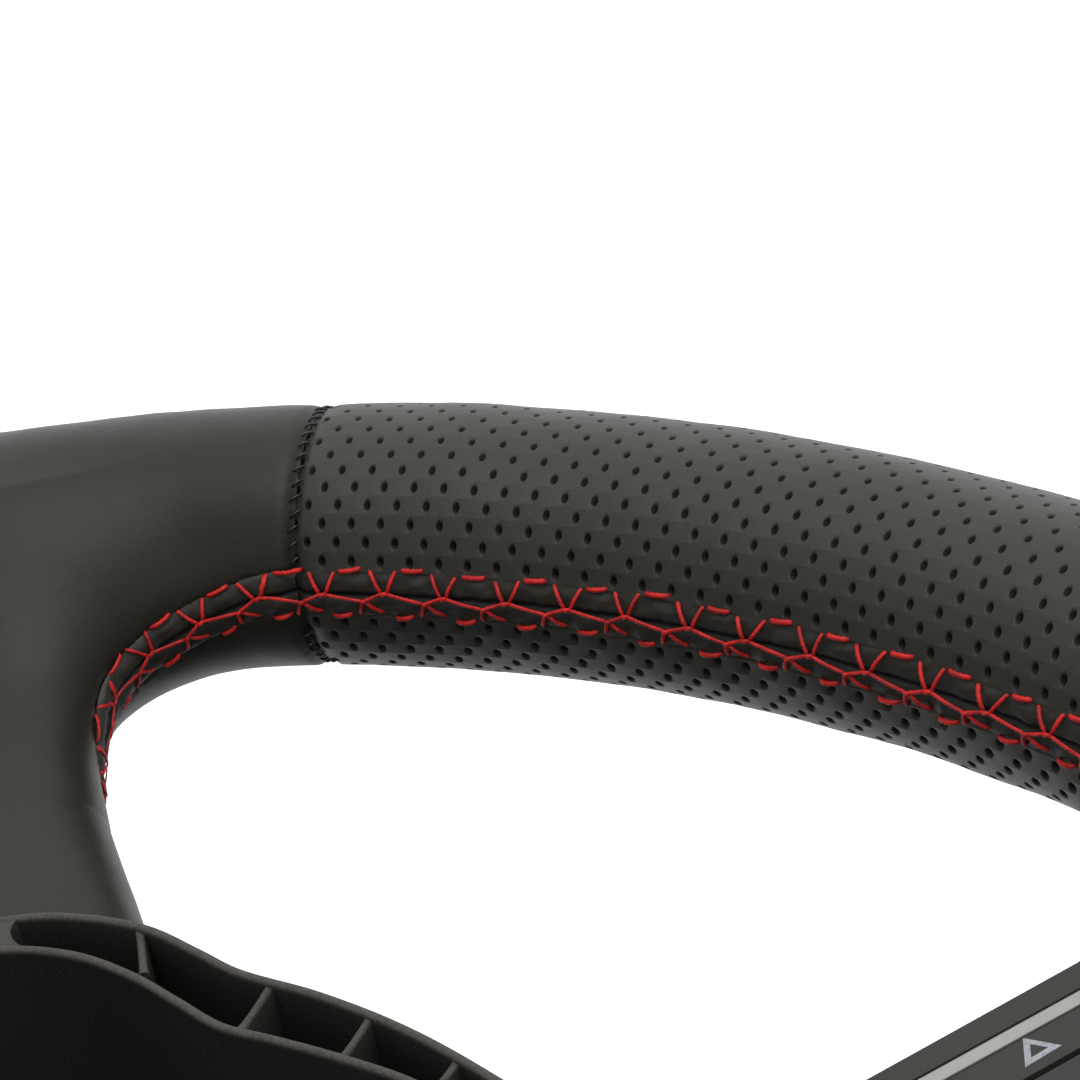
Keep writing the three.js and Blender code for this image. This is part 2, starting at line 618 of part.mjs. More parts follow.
const hornBack = PLATE_FRONT + GAP;
const hornFront = hornBack + HORN_DEPTH;
add(
  "horn_housing",
  washer(HORN_RADIUS, HORN_RADIUS - 1.6, hornBack, hornFront)
    .add(washer(HORN_RADIUS - 0.5, 6, hornBack, hornBack + 2)),
  "nylon",
);
const capSkirt = hornFront - 8;
add(
  "horn_cap",
  lathe([
    [0, hornFront + 3], [HORN_CAP_RADIUS * 0.6, hornFront + 2.2], [HORN_CAP_RADIUS - 2, hornFront + 0.6],
    [HORN_CAP_RADIUS - 1.5, hornFront - 3], [HORN_CAP_RADIUS + 1.2, hornFront - 3.2],
    [HORN_CAP_RADIUS + 1.2, hornFront - 5], [HORN_CAP_RADIUS, hornFront - 5], [HORN_CAP_RADIUS, capSkirt],
    [HORN_CAP_RADIUS - 2, capSkirt], [HORN_CAP_RADIUS - 2, hornFront - 3.5], [0, hornFront - 2.5],
  ].reverse()),
  "nylon",
);
add(
  "horn_retaining_ring",
  washer(HORN_RADIUS - 1.6 - RUN, HORN_CAP_RADIUS - 1.2 + RUN + 0.5, hornFront - 2.6, hornFront - 0.4),
  "anodised",
);
const contactFront = hornBack + 2 + GAP + 1;
add("horn_contact", washer(22, 8, contactFront - 1, contactFront, 16), "brass");
add(
  "horn_spring",
  coil(12, 0.7, contactFront + GAP, hornFront - 3 - GAP, 4, 10, 4),
  "steel",
);

// Stand the wheel up, with the column's mounting face at the origin
wheel.position.z = -COLUMN_FACE;
const steeringWheel = new THREE.Group();
steeringWheel.add(wheel);
steeringWheel.rotation.x = QUARTER;

export default steeringWheel;
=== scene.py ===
# A leather-bound steering wheel on a ball-lock quick release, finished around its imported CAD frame.
# Lengths are metres in the frame's own axes: +Z up, the driver towards -Y, the column towards +Y.
import math

import bmesh
import bpy
import numpy as np
from mathutils import Matrix, Vector


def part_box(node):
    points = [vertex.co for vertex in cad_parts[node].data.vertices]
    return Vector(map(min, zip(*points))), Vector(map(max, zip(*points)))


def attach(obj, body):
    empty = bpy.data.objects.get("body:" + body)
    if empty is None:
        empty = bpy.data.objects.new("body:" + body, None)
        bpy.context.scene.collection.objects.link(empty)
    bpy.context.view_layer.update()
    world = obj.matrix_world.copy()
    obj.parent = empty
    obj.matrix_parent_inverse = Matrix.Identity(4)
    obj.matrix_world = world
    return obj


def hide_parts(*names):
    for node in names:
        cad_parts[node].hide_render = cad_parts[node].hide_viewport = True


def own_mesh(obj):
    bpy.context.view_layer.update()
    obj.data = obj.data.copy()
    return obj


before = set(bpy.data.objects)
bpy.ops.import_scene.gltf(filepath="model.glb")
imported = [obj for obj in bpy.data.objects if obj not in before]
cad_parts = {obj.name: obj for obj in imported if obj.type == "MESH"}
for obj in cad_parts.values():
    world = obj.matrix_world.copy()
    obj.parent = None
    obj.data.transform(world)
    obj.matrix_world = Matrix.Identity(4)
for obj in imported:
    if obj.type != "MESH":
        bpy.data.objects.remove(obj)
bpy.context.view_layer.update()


def linked(name, data):
    """A new object at the origin that shows the data."""
    made = bpy.data.objects.new(name, data)
    bpy.context.collection.objects.link(made)
    return made


# --- Camera -----------------------------------------------------------------------------------
# A long lens held low over the hub on the driver's side, looking down and out at the lower left of
# the rim, and rolled so that the rim's outer edge is at the top of the picture.
ring_low, ring_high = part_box("rim_core_ring")
RIM_PLANE = (ring_low[1] + ring_high[1]) / 2
camera_data = bpy.data.cameras.new("long_lens")
camera_data.lens = 100.0
camera_data.sensor_width = 36.0
camera_data.clip_start = 0.01
camera = linked("long_lens", camera_data)
CAMERA_PLACE = Vector((-0.04499, RIM_PLANE - 0.1875, 0.15689))
CAMERA_BACK = Vector((0.1184, -0.5239, 0.8435)).normalized()
PICTURE_UP = Vector((-0.2138, -0.8430, -0.4936))
picture_right = PICTURE_UP.cross(CAMERA_BACK).normalized()
picture_up = CAMERA_BACK.cross(picture_right)
camera.matrix_world = Matrix.Translation(CAMERA_PLACE) @ Matrix(
    (picture_right, picture_up, CAMERA_BACK)).transposed().to_4x4()
bpy.context.scene.camera = camera

# --- Room -------------------------------------------------------------------------------------
# A white sweep, a large soft box on the driver's side and a weaker one above.


def lay_floor():
    drop = 0.75
    bm = bmesh.new()
    bmesh.ops.create_grid(bm, x_segments=1, y_segments=1, size=6.0)
    bmesh.ops.translate(bm, verts=bm.verts, vec=(0, 0, -drop))
    mesh = bpy.data.meshes.new("floor")
    bm.to_mesh(mesh)
    bm.free()
    floor = linked("floor", mesh)
    paint = bpy.data.materials.new("white_sweep")
    paint.use_nodes = True
    shader = paint.node_tree.nodes["Principled BSDF"]
    shader.inputs["Base Color"].default_value = (0.86, 0.86, 0.86, 1)
    shader.inputs["Roughness"].default_value = 0.9
    shader.inputs["Emission Color"].default_value = (1, 1, 1, 1)
    shader.inputs["Emission Strength"].default_value = 0.8
    mesh.materials.append(paint)


def hang_soft_box(name, place, aim, width, height, power):
    data = bpy.data.lights.new(name, "AREA")
    data.shape = "RECTANGLE"
    data.size = width
    data.size_y = height
    data.energy = power
    lamp = linked(name, data)
    lamp.location = place
    lamp.rotation_euler = (Vector(aim) - Vector(place)).to_track_quat("-Z", "Y").to_euler()


lay_floor()
world = bpy.data.worlds.new("studio")
world.use_nodes = True
world_tree = world.node_tree
heading = world_tree.nodes.new("ShaderNodeSeparateXYZ")
world_tree.links.new(world_tree.nodes.new("ShaderNodeTexCoord").outputs["Generated"], heading.inputs[0])
falloff = world_tree.nodes.new("ShaderNodeMapRange")
for socket, value in (("From Min", -0.9), ("From Max", 0.7), ("To Min", 0.75), ("To Max", 0.10)):
    falloff.inputs[socket].default_value = value
world_tree.links.new(heading.outputs["Y"], falloff.inputs["Value"])
world_tree.links.new(falloff.outputs[0], world_tree.nodes["Background"].inputs["Strength"])
world_tree.nodes["Background"].inputs["Color"].default_value = (1, 1, 1, 1)
bpy.context.scene.world = world
bpy.context.scene.view_settings.view_transform = "Standard"
RIM_CENTRE = (0.0, RIM_PLANE, 0.0)
hang_soft_box("front_box", (-0.25, -1.5, 0.25), RIM_CENTRE, 1.6, 1.2, 22)
hang_soft_box("top_box", (0.3, -0.4, 1.5), RIM_CENTRE, 1.2, 1.2, 5)

# --- Leather: perforated grips ----------------------------------------------------------------
# Two lengths of perforated hide wrapped round the foam on each side of the wheel and drawn together
# along the inside of the rim. Each ends in a cross seam turned under and whip-stitched.


class Wire:
    """One value in a node tree. Arithmetic on it adds Math nodes."""

    def __init__(self, board, socket):
        self.board = board
        self.socket = socket

    def math(self, operation, *others, clamp=False):
        node = self.board.node("ShaderNodeMath", {"operation": operation, "use_clamp": clamp},
                               dict(enumerate((self, *others))))
        return Wire(self.board, node.outputs[0])

    def __add__(self, other):
        return self.math("ADD", other)

    def __radd__(self, other):
        return self.math("ADD", other)

    def __sub__(self, other):
        return self.math("SUBTRACT", other)

    def __rsub__(self, other):
        return (self * -1) + other

    def __mul__(self, other):
        return self.math("MULTIPLY", other)

    def __rmul__(self, other):
        return self.math("MULTIPLY", other)

    def __truediv__(self, other):
        return self.math("DIVIDE", other)

    def step(self, low, high):
        """0 below low, 1 above high, smooth between."""
        node = self.board.node("ShaderNodeMapRange", {"interpolation_type": "SMOOTHSTEP"},
                               {"Value": self, "From Min": low, "From Max": high})
        return Wire(self.board, node.outputs[0])


class Board:
    """A node tree being filled in, one node at a time."""

    def __init__(self, tree):
        self.tree = tree

    def node(self, kind, settings=None, inputs=None):
        made = self.tree.nodes.new(kind)
        for name, value in (settings or {}).items():
            if name == "stops":
                ramp = made.color_ramp.elements
                for at, colour in value[2:]:
                    ramp.new(at).color = (*colour, 1)
                for element, (at, colour) in zip((ramp[0], ramp[len(ramp) - 1]), value[:2]):
                    element.position = at
                    element.color = (*colour, 1)
            else:
                setattr(made, name, value)
        for name, value in (inputs or {}).items():
            socket = made.inputs[name]
            if isinstance(value, Wire):
                self.tree.links.new(value.socket, socket)
            elif value is not None:
                socket.default_value = (*value, 1) if isinstance(value, tuple) and len(value) == 3 \
                    and socket.type == "RGBA" else value
        return made

    def wire(self, kind, settings=None, inputs=None, output=0):
        return Wire(self, self.node(kind, settings, inputs).outputs[output])


class Finish(Board):
    """A material, with one Principled shader that its pattern feeds."""

    def __init__(self, name, **constants):
        self.material = bpy.data.materials.new(name)
        self.material.use_nodes = True
        super().__init__(self.material.node_tree)
        self.shader = self.tree.nodes["Principled BSDF"]
        for socket, value in constants.items():
            self.shader.inputs[socket.replace("_", " ")].default_value = value
        self.place = self.wire("ShaderNodeTexCoord", output="Object")

    def noise(self, scale, detail=3.0, roughness=0.5, place=None):
        return self.wire("ShaderNodeTexNoise", None, {
            "Vector": place or self.place, "Scale": scale, "Detail": detail, "Roughness": roughness})

    def cells(self, scale, feature="F1", randomness=1.0, place=None):
        return self.wire("ShaderNodeTexVoronoi", {"feature": feature}, {
            "Vector": place or self.place, "Scale": scale, "Randomness": randomness})

    def blend(self, factor, low, high):
        """A colour between two, by a 0 to 1 factor."""
        return self.wire("ShaderNodeMix", {"data_type": "RGBA"}, {0: factor, 6: low, 7: high}, 2)

    def feed(self, socket, wire):
        self.tree.links.new(wire.socket, self.shader.inputs[socket])

    def bump(self, height, distance, strength=1.0, under=None):
        inputs = {"Height": height, "Distance": distance, "Strength": strength}
        if under:
            inputs["Normal"] = under
        return self.wire("ShaderNodeBump", None, inputs)


def mesh_object(name, points, faces, finish=None, smooth=True):
    """An object at the origin from points in metres."""
    mesh = bpy.data.meshes.new(name)
    mesh.from_pydata(np.asarray(points).tolist(), [], [tuple(map(int, f)) for f in faces])
    mesh.update()
    if smooth:
        mesh.shade_smooth()
    if finish:
        mesh.materials.append(finish.material)
    return linked(name, mesh)


def turn_out(piece):
    """Face normals made to point outwards."""
    bm = bmesh.new()
    bm.from_mesh(piece.data)
    bmesh.ops.recalc_face_normals(bm, faces=bm.faces)
    bm.to_mesh(piece.data)
    bm.free()


def weld(piece, gap, sliver):
    """Points nearer than gap joined and edges shorter than sliver dissolved, in metres."""
    bm = bmesh.new()
    bm.from_mesh(piece.data)
    bmesh.ops.remove_doubles(bm, verts=bm.verts, dist=gap)
    bmesh.ops.dissolve_degenerate(bm, edges=bm.edges, dist=sliver)
    bm.to_mesh(piece.data)
    bm.free()


def mark_points(mesh, name, values):
    """A value for each point, which the materials read."""
    mark = mesh.attributes.new(name, "FLOAT", "POINT")
    mark.data.foreach_set("value", np.asarray(values).astype(np.float32))


def sheet_faces(rows, n):
    """The quads of a grid of rows of n points."""
    return [(i * n + j, (i + 1) * n + j, (i + 1) * n + j + 1, i * n + j + 1)
            for i in range(rows - 1) for j in range(n - 1)]


def ring_faces(rows, n):
    """The quads of a grid of rows of n points that closes on itself both ways."""
    return [(i * n + j, (i + 1) % rows * n + j, (i + 1) % rows * n + (j + 1) % n, i * n + (j + 1) % n)
            for i in range(rows) for j in range(n)]


def shifted(faces, start):
    """Faces of points that begin at start in a longer list."""
    return [tuple(int(i) + start for i in f) for f in faces]


MM = 0.001
RIM_RADIUS = (ring_high[2] - ring_low[2]) / 2 / MM - 5
grip_low, grip_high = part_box("leather_grip_left")
GRIP_RADIUS = (grip_high[1] - grip_low[1]) / 2 / MM
HIDE_RADIUS = GRIP_RADIUS - 0.12
RIM_INSIDE = RIM_RADIUS - GRIP_RADIUS
SEAM_ANGLE = 22.0  # where each grip begins, from the bottom of the rim
GRIP_END = 140.0
CROSS_SEAMS = (SEAM_ANGLE, GRIP_END, 360 - GRIP_END, 360 - SEAM_ANGLE)


def stand_up(points):
    """Wheel millimetres (x right, y up, z to the driver from the rim's plane) to the frame's metres."""
    p = np.asarray(points, float)
    return np.stack([p[..., 0] * MM, RIM_PLANE - p[..., 2] * MM, p[..., 1] * MM], -1)


def on_rim(phi, theta, radius):
    """A point of the rim: phi degrees from the bottom to the driver's left, theta radians from the
    innermost line towards the driver, radius from the centre of the section."""
    across = RIM_RADIUS - radius * np.cos(theta)
    a = np.radians(phi)
    return np.stack([-across * np.sin(a), -across * np.cos(a), radius * np.sin(theta)], -1)


def soft_noise(p, scale, seed):
    """Smooth noise about zero at points p, from a few random waves."""
    rng = np.random.default_rng(seed)
    total = np.zeros(p.shape[:-1])
    for _ in range(14):
        direction = rng.normal(size=3)
        direction /= np.linalg.norm(direction)
        wave = 2 * np.pi / (scale * rng.uniform(0.6, 1.8))
        total += np.sin(p @ direction * wave + rng.uniform(0, 2 * np.pi))
    return total / 14 ** 0.5


def repeat_tree():
    """Copies of a tile on a grid, every other row shifted, welded into one sheet."""
    tree = bpy.data.node_groups.new("repeat_tile", "GeometryNodeTree")
    tree.interface.new_socket("Geometry", in_out="INPUT", socket_type="NodeSocketGeometry")
    for name, kind in (("Tile", "Object"), ("Material", "Material"), ("Columns", "Int"), ("Rows", "Int"),
                       ("Pitch", "Float"), ("Row Pitch", "Float"), ("Shift", "Float"), ("Weld", "Float")):
        tree.interface.new_socket(name, in_out="INPUT", socket_type="NodeSocket" + kind)
    tree.interface.new_socket("Geometry", in_out="OUTPUT", socket_type="NodeSocketGeometry")
    board = Board(tree)
    given = board.node("NodeGroupInput")
    value = {s.name: Wire(board, s) for s in given.outputs if s.name}
    spots = board.wire("GeometryNodeMeshGrid", None, {
        "Size X": (value["Columns"] - 1) * value["Pitch"], "Size Y": (value["Rows"] - 1) * value["Row Pitch"],
        "Vertices X": value["Columns"], "Vertices Y": value["Rows"]})
    place = board.wire("GeometryNodeInputPosition")
    apart = board.node("ShaderNodeSeparateXYZ", None, {0: place})
    half_deep = (value["Rows"] - 1) * value["Row Pitch"] / 2
    row = ((Wire(board, apart.outputs[1]) + half_deep) / value["Row Pitch"]).math("ROUND")
    shift = row.math("MODULO", 2.0) * value["Shift"] * value["Pitch"]
    half_long = (value["Columns"] - 1) * value["Pitch"] / 2
    offset = board.wire("ShaderNodeCombineXYZ", None, {0: shift + half_long, 1: half_deep})
    spots = board.wire("GeometryNodeSetPosition", None, {"Geometry": spots, "Offset": offset})
    tile = board.wire("GeometryNodeObjectInfo", None, {"Object": value["Tile"]}, "Geometry")
    copies = board.wire("GeometryNodeInstanceOnPoints", None, {"Points": spots, "Instance": tile})
    whole = board.wire("GeometryNodeRealizeInstances", None, {"Geometry": copies})
    welded = board.wire("GeometryNodeMergeByDistance", None, {"Geometry": whole, "Distance": value["Weld"]})
    last = board.wire("GeometryNodeSetMaterial", None, {"Geometry": welded, "Material": value["Material"]})
    end = board.node("NodeGroupOutput")
    tree.links.new(last.socket, end.inputs[0])
    return tree


REPEAT = repeat_tree()


def repeated(points, faces, finish, columns, rows=1, pitch=1.0, row_pitch=1.0, shift=0.0, weld=1e-4):
    """The points (flat, millimetres) and faces of a tile repeated on a grid by Geometry Nodes."""
    tile = mesh_object("tile", points, faces)
    carrier = mesh_object("carrier", [(0, 0, 0)], [])
    modifier = carrier.modifiers.new("repeat", "NODES")
    modifier.node_group = REPEAT
    given = {"Tile": tile, "Material": finish.material, "Columns": columns, "Rows": rows,
             "Pitch": pitch, "Row Pitch": row_pitch, "Shift": shift, "Weld": weld}
    for item in REPEAT.interface.items_tree:
        if item.in_out == "INPUT" and item.name in given:
            modifier[item.identifier] = given[item.name]
    seen = carrier.evaluated_get(bpy.context.evaluated_depsgraph_get())
    mesh = bpy.data.meshes.new_from_object(seen)
    carrier.modifiers.clear()
    flat = np.zeros(len(mesh.vertices) * 3)
    mesh.vertices.foreach_get("co", flat)
    polygons = [tuple(p.vertices) for p in mesh.polygons]
    for used in (tile, carrier):
        bpy.data.objects.remove(used)
    bpy.data.meshes.remove(mesh)
    return flat.reshape(-1, 3), polygons


def leather_finish(name, perforated):
    hide = Finish(name, Specular_IOR_Level=0.25 if perforated else 0.2)
    broad = hide.noise(28, 3)
    fine = hide.noise(900, 2)
    grain = hide.cells(2300, "F1")
    fold = hide.noise(420, 4, 0.6)
    deep = (0.0188, 0.0181, 0.0150) if perforated else (0.0112, 0.0106, 0.0081)
    tone = hide.blend(broad, deep, tuple(1.25 * c for c in deep))
    wear_and_painted_light = hide.blend(fine.step(0.55, 0.8) * 0.25, tone, tuple(1.8 * c for c in deep))
    if perforated:
        # Painted shade: the attribute read here blends hole cores and the sewn fold towards near black.
        depth = hide.wire("ShaderNodeAttribute", {"attribute_name": "pit"}, None, "Fac")
        wear_and_painted_light = hide.blend(depth.step(0.15, 0.75), wear_and_painted_light, (0.0012, 0.0012, 0.0012))
        rough = hide.wire("ShaderNodeMapRange", None, {"Value": depth, "To Min": 0.46, "To Max": 0.9})
        hide.feed("Roughness", rough + broad * 0.08 - 0.04)
    else:
        hide.feed("Roughness", broad * 0.12 + fine * 0.08 + 0.36)
    hide.feed("Base Color", wear_and_painted_light)
    under = hide.bump(fold, 0.00007, 0.5)
    hide.feed("Normal", hide.bump(grain, 0.00003, 0.5, under))
    return hide


PERFORATED = leather_finish("perforated_hide", True)
HOLE_PITCH = 3.9  # along the rim's centre line
HOLE_ROW = 2.24  # round the section
DIMPLE = 0.70
HOLE = 0.42
PIT_DEPTH = 1.3
BAND_HALF = 3.0  # of the sewn band, each side of the sewn line
SEWN_SIDE = 1.7  # of the sewn line, from the innermost line towards the driver
SEAM_DEPTH = 1.25
SEAM_WIDTH = 0.9
SEAM_BOW = -0.3


def seam_pull(theta):
    """How hard a cross seam is drawn in, full on the inside of the rim."""
    return 0.45 + 0.55 * np.cos(theta / 2) ** 2


def seam_shape(phi, theta):
    """How far the cross seams pull the leather in, and how far they bow along the rim."""
    sink = np.zeros_like(phi)
    bow = np.zeros_like(phi)
    for seam in (*CROSS_SEAMS, -SEAM_ANGLE, -GRIP_END):
        gap = np.radians(phi - seam) * RIM_RADIUS
        left = 1 if 0 < seam < 180 else -1
        groove = SEAM_DEPTH * np.exp(-(gap / SEAM_WIDTH) ** 2) + 0.2 * np.exp(-(gap / 4) ** 2)
        sink += seam_pull(theta) * groove
        bow -= left * SEAM_BOW * np.exp(-(gap / 14) ** 2) * np.abs(np.sin(theta))
    return sink, bow


def dress_rim(flat_phi, theta, lift, seed):
    """Leather points over the foam: seams pull in, and the hide lies a little uneven."""
    sink, bow = seam_shape(flat_phi, theta)
    phi = flat_phi + np.degrees(bow / RIM_RADIUS)
    turned = theta + SEWN_SIDE / GRIP_RADIUS
    base = on_rim(phi, turned, GRIP_RADIUS)
    uneven = 0.10 * soft_noise(base, 22, seed) + 0.04 * soft_noise(base, 6, seed + 1)
    return on_rim(phi, turned, HIDE_RADIUS - sink + lift + uneven)


def perforation_tile():
    """One staggered brick of hide with a dimple and a deep hole. Its corners and the middles of its
    long sides meet its neighbours' in the next rows."""
    w, h = HOLE_PITCH / 2, HOLE_ROW / 2
    edge = [(-w, -h), (0, -h), (w, -h), (w, 0), (w, h), (0, h), (-w, h), (-w, 0)]
    points = [(x, y, 0.0) for x, y in edge]
    for radius, depth in ((DIMPLE, -0.02), (HOLE, -0.26)):
        for x, y in edge:
            a = math.atan2(y / h, x / w)
            points.append((radius * 0.96 * math.cos(a), radius * 1.05 * math.sin(a), depth))
    points.append((0, 0, -PIT_DEPTH))
    faces = [(ring + i, ring + (i + 1) % 8, ring + 8 + (i + 1) % 8, ring + 8 + i)
             for ring in (0, 8) for i in range(8)]
    faces += [(16 + i, 16 + (i + 1) % 8, 24) for i in range(8)]
    return points, faces


def band_strip(length, half, step):
    """A flat strip along +X, centred on y = 0, as a grid of points and its faces."""
    along = np.linspace(0, length, max(2, int(round(length / step)) + 1))
    across = half * np.array([-1, -0.93, -0.84, -0.7, -0.55, -0.4, -0.26, -0.13, -0.05, 0, 0.05, 0.13, 0.26,
                              0.4, 0.55, 0.7, 0.84, 0.93, 1])
    grid = np.stack(np.meshgrid(along, across, indexing="ij"), -1).reshape(-1, 2)
    return grid, sheet_faces(len(along), len(across))


STITCH_PITCH = 7.5


def pucker(s, w):
    """Height of the two turned edges that the sewing draws together, at s along and w across."""
    t = np.abs(w) / BAND_HALF
    lip = 0.16 * np.sin(np.pi * np.clip((t - 0.04) / 0.92, 0, 1))
    groove = -0.55 * np.exp(-(w / 0.22) ** 2)
    phase = 2 * np.pi * s / STITCH_PITCH
    drawn = 0.5 + 0.5 * np.cos(phase + np.where(w > 0, 0.0, np.pi * 1.3))
    needle = -0.4 * np.exp(-((t - 0.93) / 0.12) ** 2) * drawn ** 2
    crease = 0.10 * np.sin(2 * phase + 2.5 * t * np.sign(w) + 0.6) * np.sin(np.pi * np.clip(t, 0, 1))
    return lip * (0.7 + 0.5 * drawn) + groove + crease + needle


def band_share(w):
    """1 over the sewn band, falling to 0 at its two edges."""
    return 1 - (np.abs(w) / BAND_HALF) ** 8


def painted_fold_shade(w):
    """Painted shade over the folded band, darkest in the groove of the sewn line."""
    return np.clip(0.3 + 0.4 * np.exp(-(w / 0.35) ** 2), 0, 1) * band_share(w)


def wrinkles(s, w, seed):
    return soft_noise(np.stack([s, w * 1.5, s * 0], -1), 1.6, seed)


def favour_broad_faces(mesh):
    """Normals that follow the broad faces, so that only a hole's own edge is shaded round."""
    normals, areas = np.zeros(3 * len(mesh.polygons)), np.zeros(len(mesh.polygons))
    counts, corners = np.zeros(len(mesh.polygons), int), np.zeros(len(mesh.loops), int)
    mesh.polygons.foreach_get("normal", normals)
    mesh.polygons.foreach_get("area", areas)
    mesh.polygons.foreach_get("loop_total", counts)
    mesh.loops.foreach_get("vertex_index", corners)
    weighted = normals.reshape(-1, 3) * (areas[:, None] * 1e6) ** 1.5
    total = np.zeros((len(mesh.vertices), 3))
    np.add.at(total, corners, np.repeat(weighted, counts, axis=0))
    total /= np.maximum(np.linalg.norm(total, axis=1, keepdims=True), 1e-12)
    mesh.normals_split_custom_set_from_vertices(total.tolist())


def wrap_grip(name, first, last, node, seed):
    span = math.radians(abs(last - first)) * RIM_RADIUS
    columns = round(span / HOLE_PITCH)
    around = 2 * math.pi * GRIP_RADIUS - 2 * BAND_HALF
    rows = round(around / HOLE_ROW)
    tile_points, tile_faces = perforation_tile()
    flat, faces = repeated(tile_points, tile_faces, PERFORATED, columns + 1, rows, HOLE_PITCH, HOLE_ROW, 0.5)
    s = np.clip(flat[:, 0] / (columns * HOLE_PITCH), 0, 1)
    band = BAND_HALF / GRIP_RADIUS

    def section_angle(y):
        return band + (y + HOLE_ROW / 2) / (rows * HOLE_ROW) * (2 * math.pi - 2 * band)

    theta = section_angle(flat[:, 1])
    # The stretch of sewing opens the holes near the sewn line and leaves those opposite it small.
    row = np.round(flat[:, 1] / HOLE_ROW)
    shift = 0.5 * np.mod(row, 2)
    middle_x = (np.round(flat[:, 0] / HOLE_PITCH - shift) + shift) * HOLE_PITCH
    middle_s = np.clip(middle_x / (columns * HOLE_PITCH), 0, 1)
    middle_theta = section_angle(row * HOLE_ROW)
    away = np.minimum(middle_theta, 2 * math.pi - middle_theta)
    size = np.interp(away, (0.25, 1.0, 1.9, 3.14), (1.2, 1.05, 0.66, 0.55))
    tall = size * np.interp(away, (1.0, 1.9), (1.15, 1.0))
    pitted = flat[:, 2] < -0.01
    s = np.where(pitted, middle_s + (s - middle_s) * size * 0.88, s)
    theta = np.where(pitted, middle_theta + (theta - middle_theta) * tall, theta)
    phi = first + (last - first) * s
    sheet = dress_rim(phi, theta, flat[:, 2] * np.where(pitted, size, 1.0), seed)
    inner_span = math.radians(abs(last - first)) * RIM_INSIDE
    strip, strip_faces = band_strip(inner_span, BAND_HALF, 0.42)
    strip_phi = first + (last - first) * strip[:, 0] / inner_span
    along, w = strip[:, 0], strip[:, 1]
    lift = (pucker(along, w) + 0.10 * wrinkles(along, w, seed + 5)) * band_share(w)
    edge = dress_rim(strip_phi, w / GRIP_RADIUS, lift, seed)
    points = np.concatenate([sheet, edge])
    piece = mesh_object(name, stand_up(points), faces + shifted(strip_faces, len(sheet)), PERFORATED)
    # Painted shade: the holes darker the deeper they go, and the sewn band darkened along its fold.
    painted_hole_shade = np.clip((-flat[:, 2] - 0.03) / 0.4, 0, 1)
    mark_points(piece.data, "pit", np.concatenate([painted_hole_shade, painted_fold_shade(w)]))
    weld(piece, 2e-6, 1e-6)
    turn_out(piece)
    favour_broad_faces(piece.data)
    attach(piece, "wheel")
    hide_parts(node)
    return piece


wrap_grip("perforated_grip_left", SEAM_ANGLE, GRIP_END, "leather_grip_left", 11)
wrap_grip("perforated_grip_right", -SEAM_ANGLE, -GRIP_END, "leather_grip_right", 23)

# --- Leather: lower spoke and top --------------------------------------------------------------
# Smooth hide. The lower length is stretched over the foam where the spoke grows out of the rim, so
# the rim rolls into the spoke with no edge; the top length is a plain sleeve.
SMOOTH = leather_finish("smooth_hide", False)
SPOKE_END = -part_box("leather_lower_spoke")[1][2] / MM
SPOKE_STATIONS = (SPOKE_END, 120.0, 150.0, 169.0)
SPOKE_FRONT = (-3.5, -2.0, 1.0, 2.0)
SPOKE_BACK = (-34.0, -19.0, -14.0, -12.0)
SPOKE_HALF = (34.8, 31.2, 31.0, 31.0)
SPOKE_ROUND = 8.5
SPOKE_FADE = 158.0  # the rim alone shapes the leather beyond this
ROLL_PLACES = (16.0, 34.0)  # across the spoke: how broadly the rim rolls into it
ROLL = (24.0, 24.0)


def spoke_section(y):
    """Middle depth, half thickness and half width of the spoke at height y."""
    front = np.interp(-y, SPOKE_STATIONS, SPOKE_FRONT)
    back = np.interp(-y, SPOKE_STATIONS, SPOKE_BACK)
    return (front + back) / 2, (front - back) / 2, np.interp(-y, SPOKE_STATIONS, SPOKE_HALF)


def over_foam(p):
    """Distance of points from the leather over rim and spoke, negative inside."""
    x, y, z = p[..., 0], p[..., 1], p[..., 2]
    rim = np.hypot(np.hypot(x, y) - RIM_RADIUS, z) - HIDE_RADIUS
    middle, half, width = spoke_section(y)
    bend = np.minimum(SPOKE_ROUND, half)
    side = np.abs(x) - (width - bend)
    face = np.abs(z - middle) - (half - bend)
    spoke = np.hypot(np.maximum(side, 0), np.maximum(face, 0)) + np.minimum(np.maximum(side, face), 0) - bend
    spoke = spoke + 1.3 * np.maximum(-y - SPOKE_FADE, 0)
    roll = np.interp(np.abs(x), ROLL_PLACES, ROLL)
    share = np.clip(0.5 + 0.5 * (spoke - rim) / roll, 0, 1)
    return spoke * (1 - share) + rim * share - roll * share * (1 - share)


def outward(p):
    """Unit normals of over_foam."""
    step = 0.02
    slope = np.stack([over_foam(p + step * np.eye(3)[k]) - over_foam(p - step * np.eye(3)[k])
                      for k in range(3)], -1)
    return slope / np.maximum(np.linalg.norm(slope, axis=-1, keepdims=True), 1e-9)


def settle(p, times=5):
    """Points drawn on to the leather's surface."""
    for _ in range(times):
        p = p - outward(p) * over_foam(p)[..., None]
    return p


def loft(sections):
    """A closed mesh through rings of equal length."""
    rings = np.asarray(sections)
    count, n = rings.shape[:2]
    faces = [(i * n + j, i * n + (j + 1) % n, (i + 1) * n + (j + 1) % n, (i + 1) * n + j)
             for i in range(count - 1) for j in range(n)]
    faces += [tuple(range(n))[::-1], tuple((count - 1) * n + j for j in range(n))]
    return rings.reshape(-1, 3), faces


def angles(count):
    return np.arange(count) * 2 * np.pi / count


def vertex_array(mesh):
    flat = np.zeros(len(mesh.vertices) * 3)
    mesh.vertices.foreach_get("co", flat)
    return flat.reshape(-1, 3)


def baked(piece):
    """The piece's mesh with its modifiers applied."""
    seen = piece.evaluated_get(bpy.context.evaluated_depsgraph_get())
    mesh = bpy.data.meshes.new_from_object(seen)
    piece.modifiers.clear()
    piece.data = mesh
    return mesh


